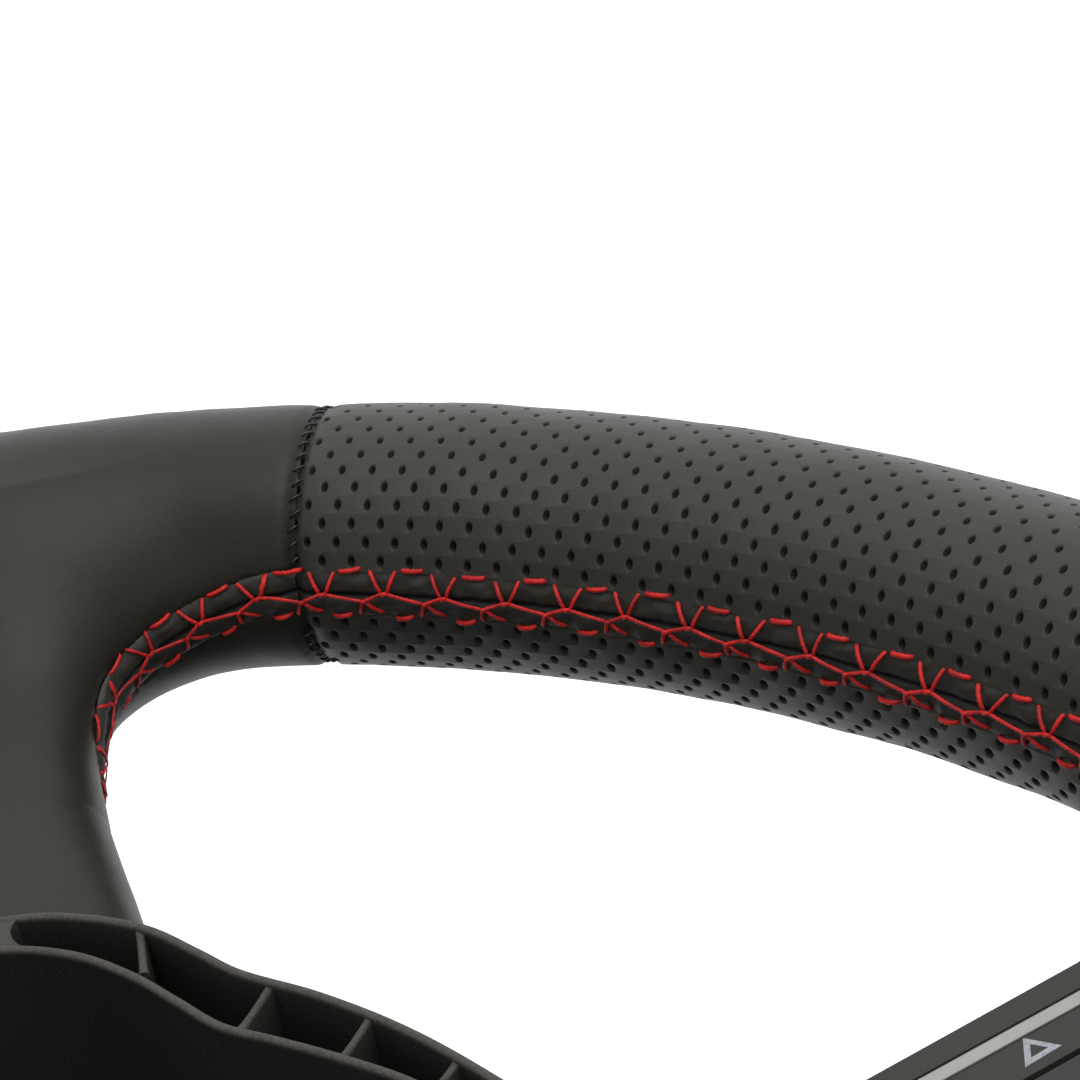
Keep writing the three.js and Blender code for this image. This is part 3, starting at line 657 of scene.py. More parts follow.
def relax(mesh, p, times):
    """Vertices moved towards the average of their neighbours, then back on to the leather."""
    edges = np.zeros(len(mesh.edges) * 2, int)
    mesh.edges.foreach_get("vertices", edges)
    a, b = edges.reshape(-1, 2).T
    degree = np.bincount(np.concatenate([a, b]), minlength=len(p))[:, None]
    for _ in range(times):
        total = np.zeros_like(p)
        np.add.at(total, a, p[b])
        np.add.at(total, b, p[a])
        p = settle(0.4 * p + 0.6 * total / np.maximum(degree, 1), 2)
    return p


def sewn_route():
    """The line where the lower leather's edges meet, from the hub end of the spoke's left side, round
    the corner and along the inside of the rim to the left seam. Returned evenly spaced."""
    turn = 17.0
    side_x = SPOKE_HALF[2] + turn
    corner_y = -math.sqrt((RIM_INSIDE - turn) ** 2 - side_x ** 2)
    down = [(-np.interp(-y, SPOKE_STATIONS, SPOKE_HALF), y)
            for y in np.linspace(-SPOKE_END - 1, corner_y, 30)]
    last = math.atan2(side_x, -corner_y)
    arc = [(-side_x + turn * math.cos(a), corner_y + turn * math.sin(a))
           for a in np.linspace(0, -math.pi / 2 - last, 24)[1:]]
    rim = [(-RIM_INSIDE * math.sin(a), -RIM_INSIDE * math.cos(a))
           for a in np.linspace(last, math.radians(SEAM_ANGLE), 12)[1:]]
    xy = np.array(down + arc + rim)
    middle = spoke_section(xy[:, 1])[0]
    reach = np.clip((-xy[:, 0] - 35) / 21, 0, 1)
    behind = np.interp(-xy[:, 1], (100, 120, 128, 133, 138), (17, 15, 11, 5, 0))
    depth = middle * (1 - reach * reach * (3 - 2 * reach)) - behind
    line = settle(np.column_stack([xy, depth]))
    for _ in range(6):
        line[1:-1] = settle((line[:-2] + line[2:]) / 2, 2)
    gaps = np.linalg.norm(np.diff(line, axis=0), axis=1)
    run = np.concatenate([[0], np.cumsum(gaps)])
    even = np.linspace(0, run[-1], int(run[-1] / 0.4))
    line = settle(np.stack([np.interp(even, run, line[:, k]) for k in range(3)], -1), 3)
    return line, run[-1]


ROUTE, ROUTE_LENGTH = sewn_route()


def on_sewn_line(s, w, h):
    """A point s along the left sewn line from the seam (negative towards the spoke), w across it
    towards the driver and h above the leather."""
    s, w, h = np.broadcast_arrays(np.asarray(s, float), np.asarray(w, float) + SEWN_SIDE, h)
    at = np.clip((s + ROUTE_LENGTH) / ROUTE_LENGTH, 0, 1) * (len(ROUTE) - 1)
    low = np.clip(at.astype(int), 0, len(ROUTE) - 2)
    part = (at - low)[..., None]
    base = ROUTE[low] * (1 - part) + ROUTE[low + 1] * part
    along = ROUTE[low + 1] - ROUTE[low]
    along /= np.linalg.norm(along, axis=-1, keepdims=True)
    normal = outward(base)
    across = np.cross(normal, along)
    spoke_side = settle(base + across * w[..., None], 4)
    spoke_side = spoke_side + outward(spoke_side) * h[..., None]
    phi = SEAM_ANGLE + np.degrees(s / RIM_INSIDE)
    rim_side = on_rim(phi, w / GRIP_RADIUS, HIDE_RADIUS + h)
    return np.where((s < 0)[..., None], spoke_side, rim_side)


def mirrored(points, faces):
    """The same shape on the driver's right."""
    return np.asarray(points) * (-1, 1, 1), [tuple(reversed(f)) for f in faces]


def rough_sleeve():
    """Rim tube and spoke block as overlapping solids, a little inside the leather."""
    tube = [on_rim(np.full(32, phi), angles(32), GRIP_RADIUS - 0.5) for phi in np.linspace(-25, 25, 36)]
    blocks = []
    for y in np.linspace(-SPOKE_END + 6, -RIM_RADIUS + 4, 22):
        middle, half, width = spoke_section(y)
        a = angles(40)
        squared = np.stack([np.sign(np.cos(a)) * np.abs(np.cos(a)) ** 0.4,
                            np.sign(np.sin(a)) * np.abs(np.sin(a)) ** 0.4], -1)
        blocks.append(np.column_stack([squared[:, 0] * (width - 0.5), np.full(40, y),
                                       middle + squared[:, 1] * (half - 0.5)]))
    tube_points, tube_faces = loft(tube)
    block_points, block_faces = loft(blocks)
    points = np.concatenate([tube_points, block_points])
    return points, tube_faces + shifted(block_faces, len(tube_points))


def trim_sleeve(mesh):
    """The sleeve cut at both seams and at its upper end, which is closed over."""
    bm = bmesh.new()
    bm.from_mesh(mesh)
    a = math.radians(SEAM_ANGLE)
    end_y = -SPOKE_END - 0.3
    for place, away in (((0, 0, 0), (-math.cos(a), math.sin(a), 0)),
                        ((0, 0, 0), (math.cos(a), math.sin(a), 0)),
                        ((0, end_y, 0), (0, 1, 0))):
        bmesh.ops.bisect_plane(bm, geom=bm.verts[:] + bm.edges[:] + bm.faces[:], dist=1e-4,
                               plane_co=place, plane_no=away, clear_outer=True)
    end = [e for e in bm.edges if e.is_boundary and all(abs(v.co.y - end_y) < 0.01 for v in e.verts)]
    cap = bmesh.ops.triangle_fill(bm, edges=end, normal=(0, 1, 0), use_beauty=True)["geom"]
    cap = [face for face in cap if isinstance(face, bmesh.types.BMFace)]
    bm.normal_update()
    bmesh.ops.reverse_faces(bm, faces=[face for face in cap if face.normal.y < 0])
    bm.to_mesh(mesh)
    bm.free()


def stretch_over_spoke():
    piece = mesh_object("spoke_leather", *rough_sleeve(), SMOOTH)
    turn_out(piece)
    remesh = piece.modifiers.new("remesh", "REMESH")
    remesh.mode = "VOXEL"
    remesh.voxel_size = 1.3
    mesh = baked(piece)
    p = relax(mesh, settle(vertex_array(mesh)), 6)
    mesh.vertices.foreach_set("co", p.ravel())
    finer = piece.modifiers.new("finer", "SUBSURF")
    finer.levels = finer.render_levels = 1
    mesh = baked(piece)
    mesh.vertices.foreach_set("co", settle(vertex_array(mesh), 3).ravel())
    trim_sleeve(mesh)
    p = vertex_array(mesh)
    normal = outward(p)
    phi = np.degrees(np.arctan2(-p[:, 0], -p[:, 1]))
    theta = np.arctan2(p[:, 2], RIM_RADIUS - np.hypot(p[:, 0], p[:, 1]))
    sink, bow = seam_shape(phi, theta)
    side = on_sewn_line(np.linspace(-ROUTE_LENGTH, 0, 260), 0.0, 0.0)[None]
    near = np.full(len(p), 1e9)
    for chunk in range(0, len(p), 4000):
        q = p[chunk:chunk + 4000].copy()
        q[:, 0] = -np.abs(q[:, 0])
        near[chunk:chunk + 4000] = np.linalg.norm(q[:, None] - side, axis=-1).min(1)
    under = 1.0 * np.clip((BAND_HALF - 0.3 - near) / 0.7, 0, 1)
    draw = 0.1 * np.exp(-((near - BAND_HALF) / 1.5) ** 2) * (near > 2.2)
    uneven = 0.13 * soft_noise(p, 26, 41) + 0.035 * soft_noise(p, 7, 42)
    turn = bow / RIM_RADIUS
    p = p + normal * (uneven - sink - under - draw)[:, None]
    p = np.column_stack([p[:, 0] * np.cos(turn) + p[:, 1] * np.sin(turn),
                         p[:, 1] * np.cos(turn) - p[:, 0] * np.sin(turn), p[:, 2]])
    mesh.vertices.foreach_set("co", stand_up(p).ravel())
    mesh.materials.clear()
    mesh.materials.append(SMOOTH.material)
    mesh.update()
    mesh.shade_smooth()
    mesh.set_sharp_from_angle(angle=math.radians(60))
    return piece


def turned_edges(name, side):
    """The two turned edges of hide that meet along the sewn line round the spoke's corner."""
    strip, faces = band_strip(ROUTE_LENGTH - 0.5, BAND_HALF, 0.42)
    s = strip[:, 0] - (ROUTE_LENGTH - 0.5)
    w = strip[:, 1]
    inner = band_share(w)
    seam = SEAM_DEPTH * np.exp(-(s / SEAM_WIDTH) ** 2)
    lift = (pucker(s, w) + 0.12 * wrinkles(s, w, 77) + 0.08) * inner - 0.25 * (1 - inner) - seam
    points = on_sewn_line(s, w, lift)
    points[:, 1] = np.minimum(points[:, 1], -SPOKE_END - 0.35)
    if side < 0:
        points, faces = mirrored(points, faces)
    piece = mesh_object(name, stand_up(points), faces, PERFORATED)
    # Painted shade along the sewn fold, darkest in its groove.
    mark_points(piece.data, "pit", painted_fold_shade(w))
    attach(piece, "wheel")
    return piece


FOAM_RADIUS = 12.6


def pour_foam():
    """Moulded foam under the leather, well inside it."""
    round_rim, round_section = np.meshgrid(np.degrees(angles(120)), angles(20), indexing="ij")
    ring = on_rim(round_rim, round_section, FOAM_RADIUS).reshape(-1, 3)
    blocks = []
    for y in np.linspace(-SPOKE_END - 3, -RIM_RADIUS + 2, 12):
        middle, half, width = spoke_section(y)
        square = [(1, 1), (-1, 1), (-1, -1), (1, -1)]
        blocks.append([((width - 5) * u, y, middle + (half - 4) * v) for u, v in square])
    points, block_faces = loft(blocks)
    foam = Finish("moulded_foam", Roughness=0.95)
    pores = foam.cells(1500, "F1")
    foam.feed("Base Color", foam.blend(pores, (0.012, 0.012, 0.012), (0.03, 0.03, 0.03)))
    foam.feed("Normal", foam.bump(pores, 0.0002, 0.6))
    faces = ring_faces(120, 20) + shifted(block_faces, len(ring))
    piece = mesh_object("foam", stand_up(np.concatenate([ring, points])), faces, foam)
    turn_out(piece)
    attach(piece, "wheel")
    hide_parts("rim_foam")


pour_foam()
spoke_leather = stretch_over_spoke()
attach(spoke_leather, "wheel")
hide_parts("leather_lower_spoke")
turned_edges("turned_edge_left", 1)
turned_edges("turned_edge_right", -1)


def sleeve_top():
    along = np.linspace(GRIP_END, 360 - GRIP_END, 420)
    band = BAND_HALF / GRIP_RADIUS
    around = np.linspace(band, 2 * math.pi - band, 88)
    phi, theta = (g.ravel() for g in np.meshgrid(along, around, indexing="ij"))
    sheet = dress_rim(phi, theta, 0.0, 31)
    inner_span = math.radians(360 - 2 * GRIP_END) * RIM_INSIDE
    strip, strip_faces = band_strip(inner_span, BAND_HALF, 0.42)
    s, w = strip.T
    edge = dress_rim(GRIP_END + np.degrees(s / RIM_INSIDE), w / GRIP_RADIUS, pucker(s, w) * band_share(w), 31)
    points = np.concatenate([sheet, edge])
    faces = sheet_faces(len(along), len(around)) + shifted(strip_faces, len(sheet))
    piece = mesh_object("top_leather", stand_up(points), faces, SMOOTH)
    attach(piece, "wheel")
    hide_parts("leather_top")


sleeve_top()

# --- Red sewing thread --------------------------------------------------------------------------
# Waxed two-ply thread, hook-stitched by hand along the inside of the rim: a zigzag spine with pairs
# of arms to both edges of the hide, and a dash between the needle holes of neighbouring stitches.
RED = Finish("red_waxed_thread", Roughness=0.6, Specular_IOR_Level=0.3)
red_patch = RED.noise(700, 2)
red_fibre = RED.noise(5200, 2, 0.7)
RED.feed("Base Color", RED.blend(red_patch.step(0.3, 0.7), (0.25, 0.0040, 0.0036), (0.45, 0.0100, 0.0075)))
RED.feed("Normal", RED.bump(red_fibre, 0.00006, 0.6))
THREAD = 0.25
NEEDLE = -0.45
# Each length of a stitch: start and end as (along, across, height) in millimetres, and its thickness.
UPPER, LOWER = 0.5, -0.5
OVER = 0.78
STITCH = (
    ((-1.70, 3.00, NEEDLE), (-0.25, UPPER, OVER), 1.0),
    ((1.65, 3.05, NEEDLE), (0.50, UPPER, OVER), 1.0),
    ((0.25, UPPER, OVER + 0.1), (4.85, LOWER, OVER + 0.05), 0.86),
    ((4.95, LOWER, OVER + 0.1), (7.45, UPPER, OVER + 0.1), 0.9),
    ((4.95, LOWER, OVER), (4.35, -2.85, NEEDLE), 1.0),
    ((5.25, LOWER, OVER), (7.35, -2.45, NEEDLE), 0.95),
    ((2.10, 2.95, NEEDLE), (5.15, 3.20, NEEDLE), 1.3),
    ((0.75, -3.00, NEEDLE), (3.60, -2.75, NEEDLE), 1.25),
    ((-0.35, UPPER - 0.12, OVER + 0.22), (0.62, UPPER + 0.05, OVER + 0.22), 1.15),
    ((4.70, LOWER, OVER + 0.2), (5.45, LOWER + 0.1, OVER + 0.22), 1.1),
)


def twisted(start, end, thickness, seed):
    """A length of two-ply thread as rings of points, bowed up from both its ends."""
    start, end = np.array(start), np.array(end)
    length = np.linalg.norm(end - start)
    count = max(5, int(length / 0.27))
    sides = 9
    t = np.linspace(0, 1, count)[:, None]
    both_down = start[2] < 0 and end[2] < 0
    rise = (0.62 if both_down else 0.10) * np.sin(np.pi * t[:, 0]) ** (0.45 if both_down else 1)
    spine = start + (end - start) * t
    if both_down:
        spine[:, 2] += rise * 1.25
    else:
        steep = np.where(start[2] < end[2], t[:, 0], 1 - t[:, 0])
        low, high = min(start[2], end[2]), max(start[2], end[2])
        spine[:, 2] = low + (high - low) * np.sin(steep * np.pi / 2) ** 0.7 + rise
    ahead = (end - start) / length
    side = np.cross(ahead, (0, 0, 1.0))
    side /= np.linalg.norm(side)
    up = np.cross(side, ahead)
    a = angles(sides)
    wind = 2 * np.pi * t * length / 1.15 + seed
    lobes = THREAD * thickness * (0.92 + 0.17 * np.cos(2 * (a[None] - wind)))
    taper = np.clip(np.minimum(t, 1 - t) * count / 1.2 + 0.62, 0, 1)
    rings = spine[:, None] + (lobes * taper)[..., None] * (
        np.cos(a)[None, :, None] * side + np.sin(a)[None, :, None] * up)
    return loft(rings)


def stitch_tile():
    points, faces = [], []
    for number, (start, end, thickness) in enumerate(STITCH):
        length_points, length_faces = twisted(start, end, thickness, number)
        faces += shifted(length_faces, sum(len(p) for p in points))
        points.append(length_points)
    return np.concatenate(points), faces


def vary(s, seed, scale=9):
    """Hand-made unevenness along a sewn line."""
    return soft_noise(np.stack([s, s * 0, s * 0], -1), scale, seed)


def sew(name, node, first, count, side, place):
    points, faces = stitch_tile()
    flat, faces = repeated(points, faces, RED, count, 1, STITCH_PITCH)
    s = flat[:, 0] + first
    w = flat[:, 1] * (1 + 0.05 * vary(s, 5)) + 0.12 * vary(s, 6)
    h = flat[:, 2] + 0.06 * vary(s, 7)
    h = np.where(h > 0, h * (1 if name.endswith("top") else np.interp(s, (-26, -14), (0.45, 1))), h)
    s = s + 0.22 * soft_noise(np.stack([s, flat[:, 1], s * 0], -1), 6, 8)
    world = place(s, w, h)
    if side < 0:
        world, faces = mirrored(world, faces)
    piece = mesh_object(name, stand_up(world), faces, RED)
    turn_out(piece)
    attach(piece, "wheel")
    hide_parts(node)


LOWER_LAST = math.radians(67 - SEAM_ANGLE) * RIM_INSIDE
SEAM_PHASE = 3.3
lower_first = SEAM_PHASE - STITCH_PITCH * int((ROUTE_LENGTH - 2) / STITCH_PITCH)
lower_count = int((LOWER_LAST - lower_first) / STITCH_PITCH)
for hand, side in (("left", 1), ("right", -1)):
    sew("red_stitching_" + hand, "rim_thread_" + hand, lower_first, lower_count, side, on_sewn_line)
UPPER_FIRST = 109.0
upper_count = int(math.radians(360 - 2 * UPPER_FIRST) * RIM_INSIDE / STITCH_PITCH)
sew("red_stitching_top", "rim_thread_upper", 0.0, upper_count, 1, lambda s, w, h: on_rim(
    UPPER_FIRST + np.degrees((s + 1) / RIM_INSIDE), (w + SEWN_SIDE) / GRIP_RADIUS, HIDE_RADIUS + h))

# Black whip stitches that close the cross seams between the hides.
DARK_THREAD = Finish("black_waxed_thread", Roughness=0.5)
dark_fibre = DARK_THREAD.noise(5200, 2, 0.7)
DARK_THREAD.feed("Base Color", DARK_THREAD.blend(dark_fibre, (0.002, 0.002, 0.002), (0.007, 0.007, 0.007)))
DARK_THREAD.feed("Normal", DARK_THREAD.bump(dark_fibre, 0.00005, 0.6))
WHIP_PITCH = 1.95


def whip_tile():
    """One short stitch along X, slanted, its ends in the hide."""
    t = np.linspace(0, 1, 9)
    spine = np.column_stack([1.3 * t - 0.65, 0.8 * t - 0.4, 0.24 * np.sin(np.pi * t) - 0.12])
    a = angles(8)
    plies = 1 + 0.18 * np.cos(2 * (a[None] - 5 * t[:, None]))
    ring = np.broadcast_arrays(0.018 * np.sin(a), 0.19 * plies * np.cos(a), 0.19 * np.sin(a))
    return loft(spine[:, None] + np.stack(ring, -1))


def whip_seams():
    points, faces = whip_tile()
    first = BAND_HALF / GRIP_RADIUS + 0.04
    rows = int((2 * math.pi - 2 * first) * GRIP_RADIUS / WHIP_PITCH)
    flat, faces = repeated(points, faces, DARK_THREAD, 1, rows, 5.0, WHIP_PITCH)
    theta = first + (flat[:, 1] + 0.5) / GRIP_RADIUS
    radius = HIDE_RADIUS - 0.72 * seam_pull(theta) + flat[:, 2]
    seams, seam_faces = [], []
    for number, seam in enumerate(CROSS_SEAMS):
        ragged = 0.16 * vary(theta * GRIP_RADIUS, 60 + number, 2.4)
        bow = seam_shape(np.full(len(theta), seam), theta)[1]
        phi = seam + np.degrees((flat[:, 0] + ragged + bow) / RIM_RADIUS)
        seams.append(on_rim(phi, theta + SEWN_SIDE / GRIP_RADIUS, radius))
        seam_faces += shifted(faces, number * len(flat))
    piece = mesh_object("black_cross_stitches", stand_up(np.concatenate(seams)), seam_faces, DARK_THREAD)
    turn_out(piece)
    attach(piece, "wheel")


whip_seams()

# --- Hub surround -------------------------------------------------------------------------------
# One glass-filled nylon moulding round the open recess of the hub: two thin walls with a ribbed
# channel between them, closed by a bridge behind the lower spoke. Four screws hold its lip.
# Attribute for paler edges: wear, and a painted highlight where the edges catch the light.
EDGE_WEAR_AND_HIGHLIGHT = "edge"


def moulded(name, face, edge, roughness, grain=0.00004):
    """A textured moulding whose edges are painted paler, for wear and as a painted highlight where they catch
    the light. The edge attribute marks them.
    """
    plastic = Finish(name, Specular_IOR_Level=0.22)
    wear_and_painted_light = plastic.wire("ShaderNodeAttribute", {"attribute_name": EDGE_WEAR_AND_HIGHLIGHT}, None, "Fac")
    texture = plastic.noise(2600, 2, 0.6)
    cloud = plastic.noise(90, 3)
    flecks = plastic.cells(1500).step(0.16, 0.05) * plastic.noise(300, 1).step(0.5, 0.62)
    tone = plastic.blend(cloud, tuple(0.8 * c for c in face), tuple(1.25 * c for c in face))
    tone = plastic.blend(flecks * 0.28, tone, (0.16, 0.155, 0.14))
    # Painted highlight and wear: marked edges are blended towards the paler edge colour.
    tone = plastic.blend(wear_and_painted_light * (0.55 + 0.45 * texture.step(0.35, 0.65)), tone, edge)
    plastic.feed("Base Color", tone)
    plastic.feed("Roughness", texture * 0.16 + roughness)
    plastic.feed("Normal", plastic.bump(texture, grain, 0.7))
    return plastic


# Its second colour is for its edges: wear, and a painted highlight.
NYLON = moulded("glass_filled_nylon", (0.0078, 0.0076, 0.0064), (0.046, 0.042, 0.036), 0.5)
SURROUND_TOP = (RIM_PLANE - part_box("hub_surround")[0][1]) / MM
SURROUND_BACK = (RIM_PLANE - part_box("hub_surround")[1][1]) / MM
CHANNEL_FLOOR = -5.6
SKIRT = -12.0
CHANNEL_BLOOM = 0.3
WALL = 1.0
OUTER_HALF = [(0, -85.4), (22, -84.7), (28, -82.6), (34.2, -78.4), (38.7, -72.9), (42, -68.6), (48.8, -62.6),
              (55.1, -55.8), (61, -47.6), (70, -32), (78, -12), (79, 12), (68, 38), (46, 58), (0, 68)]
INNER_HALF = [(0, -81), (19, -80.6), (26.6, -77.2), (32, -72), (36, -66.4), (39.6, -61.3), (44, -57.8),
              (49.6, -53.1), (55.6, -47.2), (60, -40), (65.5, -22), (67, 2), (60, 28), (41, 49), (0, 60)]


def smooth_loop(half, count):
    """An even closed loop through half an outline and its mirror image, from the bottom to the
    driver's right."""
    knots = np.array(half + [(-x, y) for x, y in half[-2:0:-1]], float)
    points = []
    for i in range(len(knots)):
        p0, p1, p2, p3 = (knots[(i + k) % len(knots)] for k in (-1, 0, 1, 2))
        t1 = np.linalg.norm(p1 - p0) ** 0.5
        t2 = t1 + np.linalg.norm(p2 - p1) ** 0.5
        t3 = t2 + np.linalg.norm(p3 - p2) ** 0.5
        t = np.linspace(t1, t2, 40, endpoint=False)[:, None]
        a1 = (t1 - t) / t1 * p0 + t / t1 * p1
        a2 = (t2 - t) / (t2 - t1) * p1 + (t - t1) / (t2 - t1) * p2
        a3 = (t3 - t) / (t3 - t2) * p2 + (t - t2) / (t3 - t2) * p3
        b1 = (t2 - t) / t2 * a1 + t / t2 * a2
        b2 = (t3 - t) / (t3 - t1) * a2 + (t - t1) / (t3 - t1) * a3
        points.append((t2 - t) / (t2 - t1) * b1 + (t - t1) / (t2 - t1) * b2)
    fine = np.concatenate(points)
    fine = np.concatenate([fine, fine[:1]])
    run = np.concatenate([[0], np.cumsum(np.linalg.norm(np.diff(fine, axis=0), axis=1))])
    even = np.linspace(0, run[-1], count, endpoint=False)
    return np.stack([np.interp(even, run, fine[:, k]) for k in range(2)], -1)


def loop_normals(loop):
    ahead = np.roll(loop, -1, 0) - np.roll(loop, 1, 0)
    out = np.stack([ahead[:, 1], -ahead[:, 0]], -1)
    return out / np.linalg.norm(out, axis=1, keepdims=True)


def wall_round(loop, profile):
    """A closed wall that follows a loop, from a profile of (distance outwards, z, edge mark). The edge mark
    paints paler for wear and as a painted highlight.
    """
    out = loop_normals(loop)
    rings = [np.column_stack([loop + out * d, np.full(len(loop), z)]) for d, z, _ in profile]
    faces = ring_faces(len(loop), len(profile))
    return np.stack(rings, 1).reshape(-1, 3), faces, np.tile([w for _, _, w in profile], len(loop))


def thin_wall(low, high, channel, thickness=WALL, nose=0.3):
    """The profile of a wall with a rounded upper edge, painted paler for wear and as a painted highlight. Its
    face in the channel, outwards (1) or inwards (-1), is duller and paler than the others."""
    h = thickness / 2
    side = [(h, low, 0), (h, (low + high) / 2, 0), (h, high - nose - 0.35, 0), (h, high - nose, 0.5),
            (h - 0.13, high - 0.14, 1), (h - nose, high, 1)]
    whole = side + [(0, high, 1)] + [(-d, z, wear_and_sheen) for d, z, wear_and_sheen in reversed(side)]
    return [(d, z, max(wear_and_sheen, CHANNEL_BLOOM * (d * channel > 0))) for d, z, wear_and_sheen in whole]


class Parts:
    """Meshes gathered into one object, with a value for each vertex that paints it paler, for wear and as a
    painted highlight.
    """

    def __init__(self):
        self.points, self.faces, self.wear_and_sheen = [], [], []
        self.count = 0

    def take(self, points, faces, wear_and_sheen=0.0):
        points = np.asarray(points, float).reshape(-1, 3)
        self.points.append(points)
        self.faces += shifted(faces, self.count)
        self.wear_and_sheen.append(np.broadcast_to(wear_and_sheen, len(points)))
        self.count += len(points)

    def build(self, name, finish, smooth=40):
        piece = mesh_object(name, stand_up(np.concatenate(self.points)), self.faces, finish)
        mark_points(piece.data, EDGE_WEAR_AND_HIGHLIGHT, np.concatenate(self.wear_and_sheen))
        turn_out(piece)
        piece.data.set_sharp_from_angle(angle=math.radians(smooth))
        return piece


def plate_between(outer, inner, low, high):
    """A flat ring between two loops of the same length."""
    n = len(outer)
    rings = [np.column_stack([loop, np.full(n, z)]) for loop, z in
             ((outer, low), (outer, high), (inner, high), (inner, low))]
    return np.stack(rings, 1).reshape(-1, 3), ring_faces(n, 4)


# Where each rib of the left half meets the outer wall and the inner wall.
RIBS = [((-33.7, -79.3), (-33.4, -72.5)), ((-45.2, -66.4), (-41.6, -61)), ((-53.4, -58.4), (-49.9, -53.6)),
        ((-60, -49.6), (-56.8, -46)), ((-66, -39.5), (-61.6, -36.5)), ((-70.6, -29), (-65, -25)),
        ((-75, -17.5), (-67.5, -13)), ((-78.3, -5), (-68.4, -1)), ((-79, 8), (-67.5, 10)),
        ((-76, 21), (-64, 21)), ((-69.5, 34.5), (-58.5, 31)), ((-59.5, 46.5), (-50, 41.5)), ((-46.5, 56.5), (-39, 50.5)),
        ((-31, 63), (-26, 56)), ((-13, 67), (-11, 59.5))]


def rib_tile():
    """A rib lying along +Y from 0 to 1, its upper edge rounded, at z = 0 and down."""
    half, drop = 0.45, SURROUND_TOP - CHANNEL_FLOOR - 1.2
    outline = [(half + 0.25, -drop), (half, -0.35), (half - 0.15, -0.08), (half - 0.35, 0), (0.35 - half, 0),
               (0.15 - half, -0.08), (-half, -0.35), (-half - 0.25, -drop)]
    return loft([[(x, y, z) for x, z in outline] for y in np.linspace(0, 1, 7)])


def height_at(loop, x):
    """The lower crossing of a loop at x."""
    lower = loop[loop[:, 1] < -40]
    order = np.argsort(lower[:, 0])
    return np.interp(x, lower[order, 0], lower[order, 1])


def left_ribs():
    """Points, faces and edge marks of the ribs on the left, each between its two ends. Their tops are marked
    to be painted paler, for wear and as a painted highlight.
    """
    points, faces = rib_tile()
    pitch = 10.0
    flat, faces = repeated(points, faces, NYLON, len(RIBS), 1, pitch)
    number = np.clip(np.round(flat[:, 0] / pitch).astype(int), 0, len(RIBS) - 1)
    ends = np.array(RIBS, float)[number]
    run = ends[:, 1] - ends[:, 0]
    side = np.stack([run[:, 1], -run[:, 0]], -1) / np.linalg.norm(run, axis=1, keepdims=True)
    spread = 1 + 0.3 * np.clip((0.25 - np.minimum(flat[:, 1], 1 - flat[:, 1])) / 0.25, 0, 1) ** 2
    aside = (flat[:, 0] - number * pitch) * spread
    xy = ends[:, 0] + run * (1.08 * flat[:, 1:2] + 0.02) + side * aside[:, None]
    sag = 0.2 * np.sin(np.pi * np.clip(flat[:, 1], 0, 1)) ** 0.5
    z = SURROUND_TOP - 0.35 + flat[:, 2] - sag
    return np.column_stack([xy, z]), faces, np.clip((flat[:, 2] + 0.5) / 0.4, 0, 1) * 0.8


def bridge(outer, inner):
    """The block that closes the channel behind the lower spoke, its two ends hollowed."""
    n, m = 15, 41
    across = np.linspace(0, 1, n)
    reach = 23.2 - 1.9 * np.sqrt(np.clip(1 - (2 * across - 1) ** 2, 0, 1))
    x = np.linspace(-1, 1, m)[:, None] * reach
    y = height_at(outer, x) * (1 - across) + height_at(inner, x) * across
    top = np.stack([x, y, np.full((m, n), SURROUND_TOP - 0.12)], -1).reshape(-1, 3)
    low = top - (0, 0, SURROUND_TOP - CHANNEL_FLOOR)
    faces = sheet_faces(m, n)
    faces += shifted([f[::-1] for f in faces], n * m)
    rim = [*range(n)] + [i * n + n - 1 for i in range(1, m)]
    rim += [(m - 1) * n + j for j in range(n - 2, -1, -1)] + [i * n for i in range(m - 2, 0, -1)]
    faces += [(a, b, b + n * m, a + n * m) for a, b in zip(rim, rim[1:] + rim[:1])]
    # Its top is marked to be painted paler, for wear and as a painted highlight.
    return np.concatenate([top, low]), faces, np.repeat([0.75, 0], n * m)


def mould_surround():
    outer, inner = smooth_loop(OUTER_HALF, 480), smooth_loop(INNER_HALF, 480)
    parts = Parts()
    parts.take(*wall_round(outer, thin_wall(SKIRT, SURROUND_TOP, -1)))
    parts.take(*wall_round(inner, thin_wall(SURROUND_BACK, SURROUND_TOP, 1)))
    parts.take(*plate_between(outer, inner, CHANNEL_FLOOR - WALL, CHANNEL_FLOOR), CHANNEL_BLOOM)
    a = np.arctan2(inner[:, 1], inner[:, 0])
    bore = np.stack([54 * np.cos(a), 54 * np.sin(a)], -1)
    parts.take(*plate_between(inner, bore, SURROUND_BACK, SURROUND_BACK + WALL))
    points, faces, wear_and_sheen = left_ribs()
    for side in (1, -1):
        parts.take(points * (side, 1, 1), faces, wear_and_sheen)
    parts.take(*bridge(outer, inner))
    piece = parts.build("surround", NYLON)
    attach(piece, "wheel")
    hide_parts("hub_surround")


mould_surround()

# --- Side spokes --------------------------------------------------------------------------------
# Soft-touch front housings and rear shells screwed together over the side arms. Each front has a
# satin silver inlay, printed marks and four push keys.
SPOKE_TONE = (0.0150, 0.0150, 0.0128)
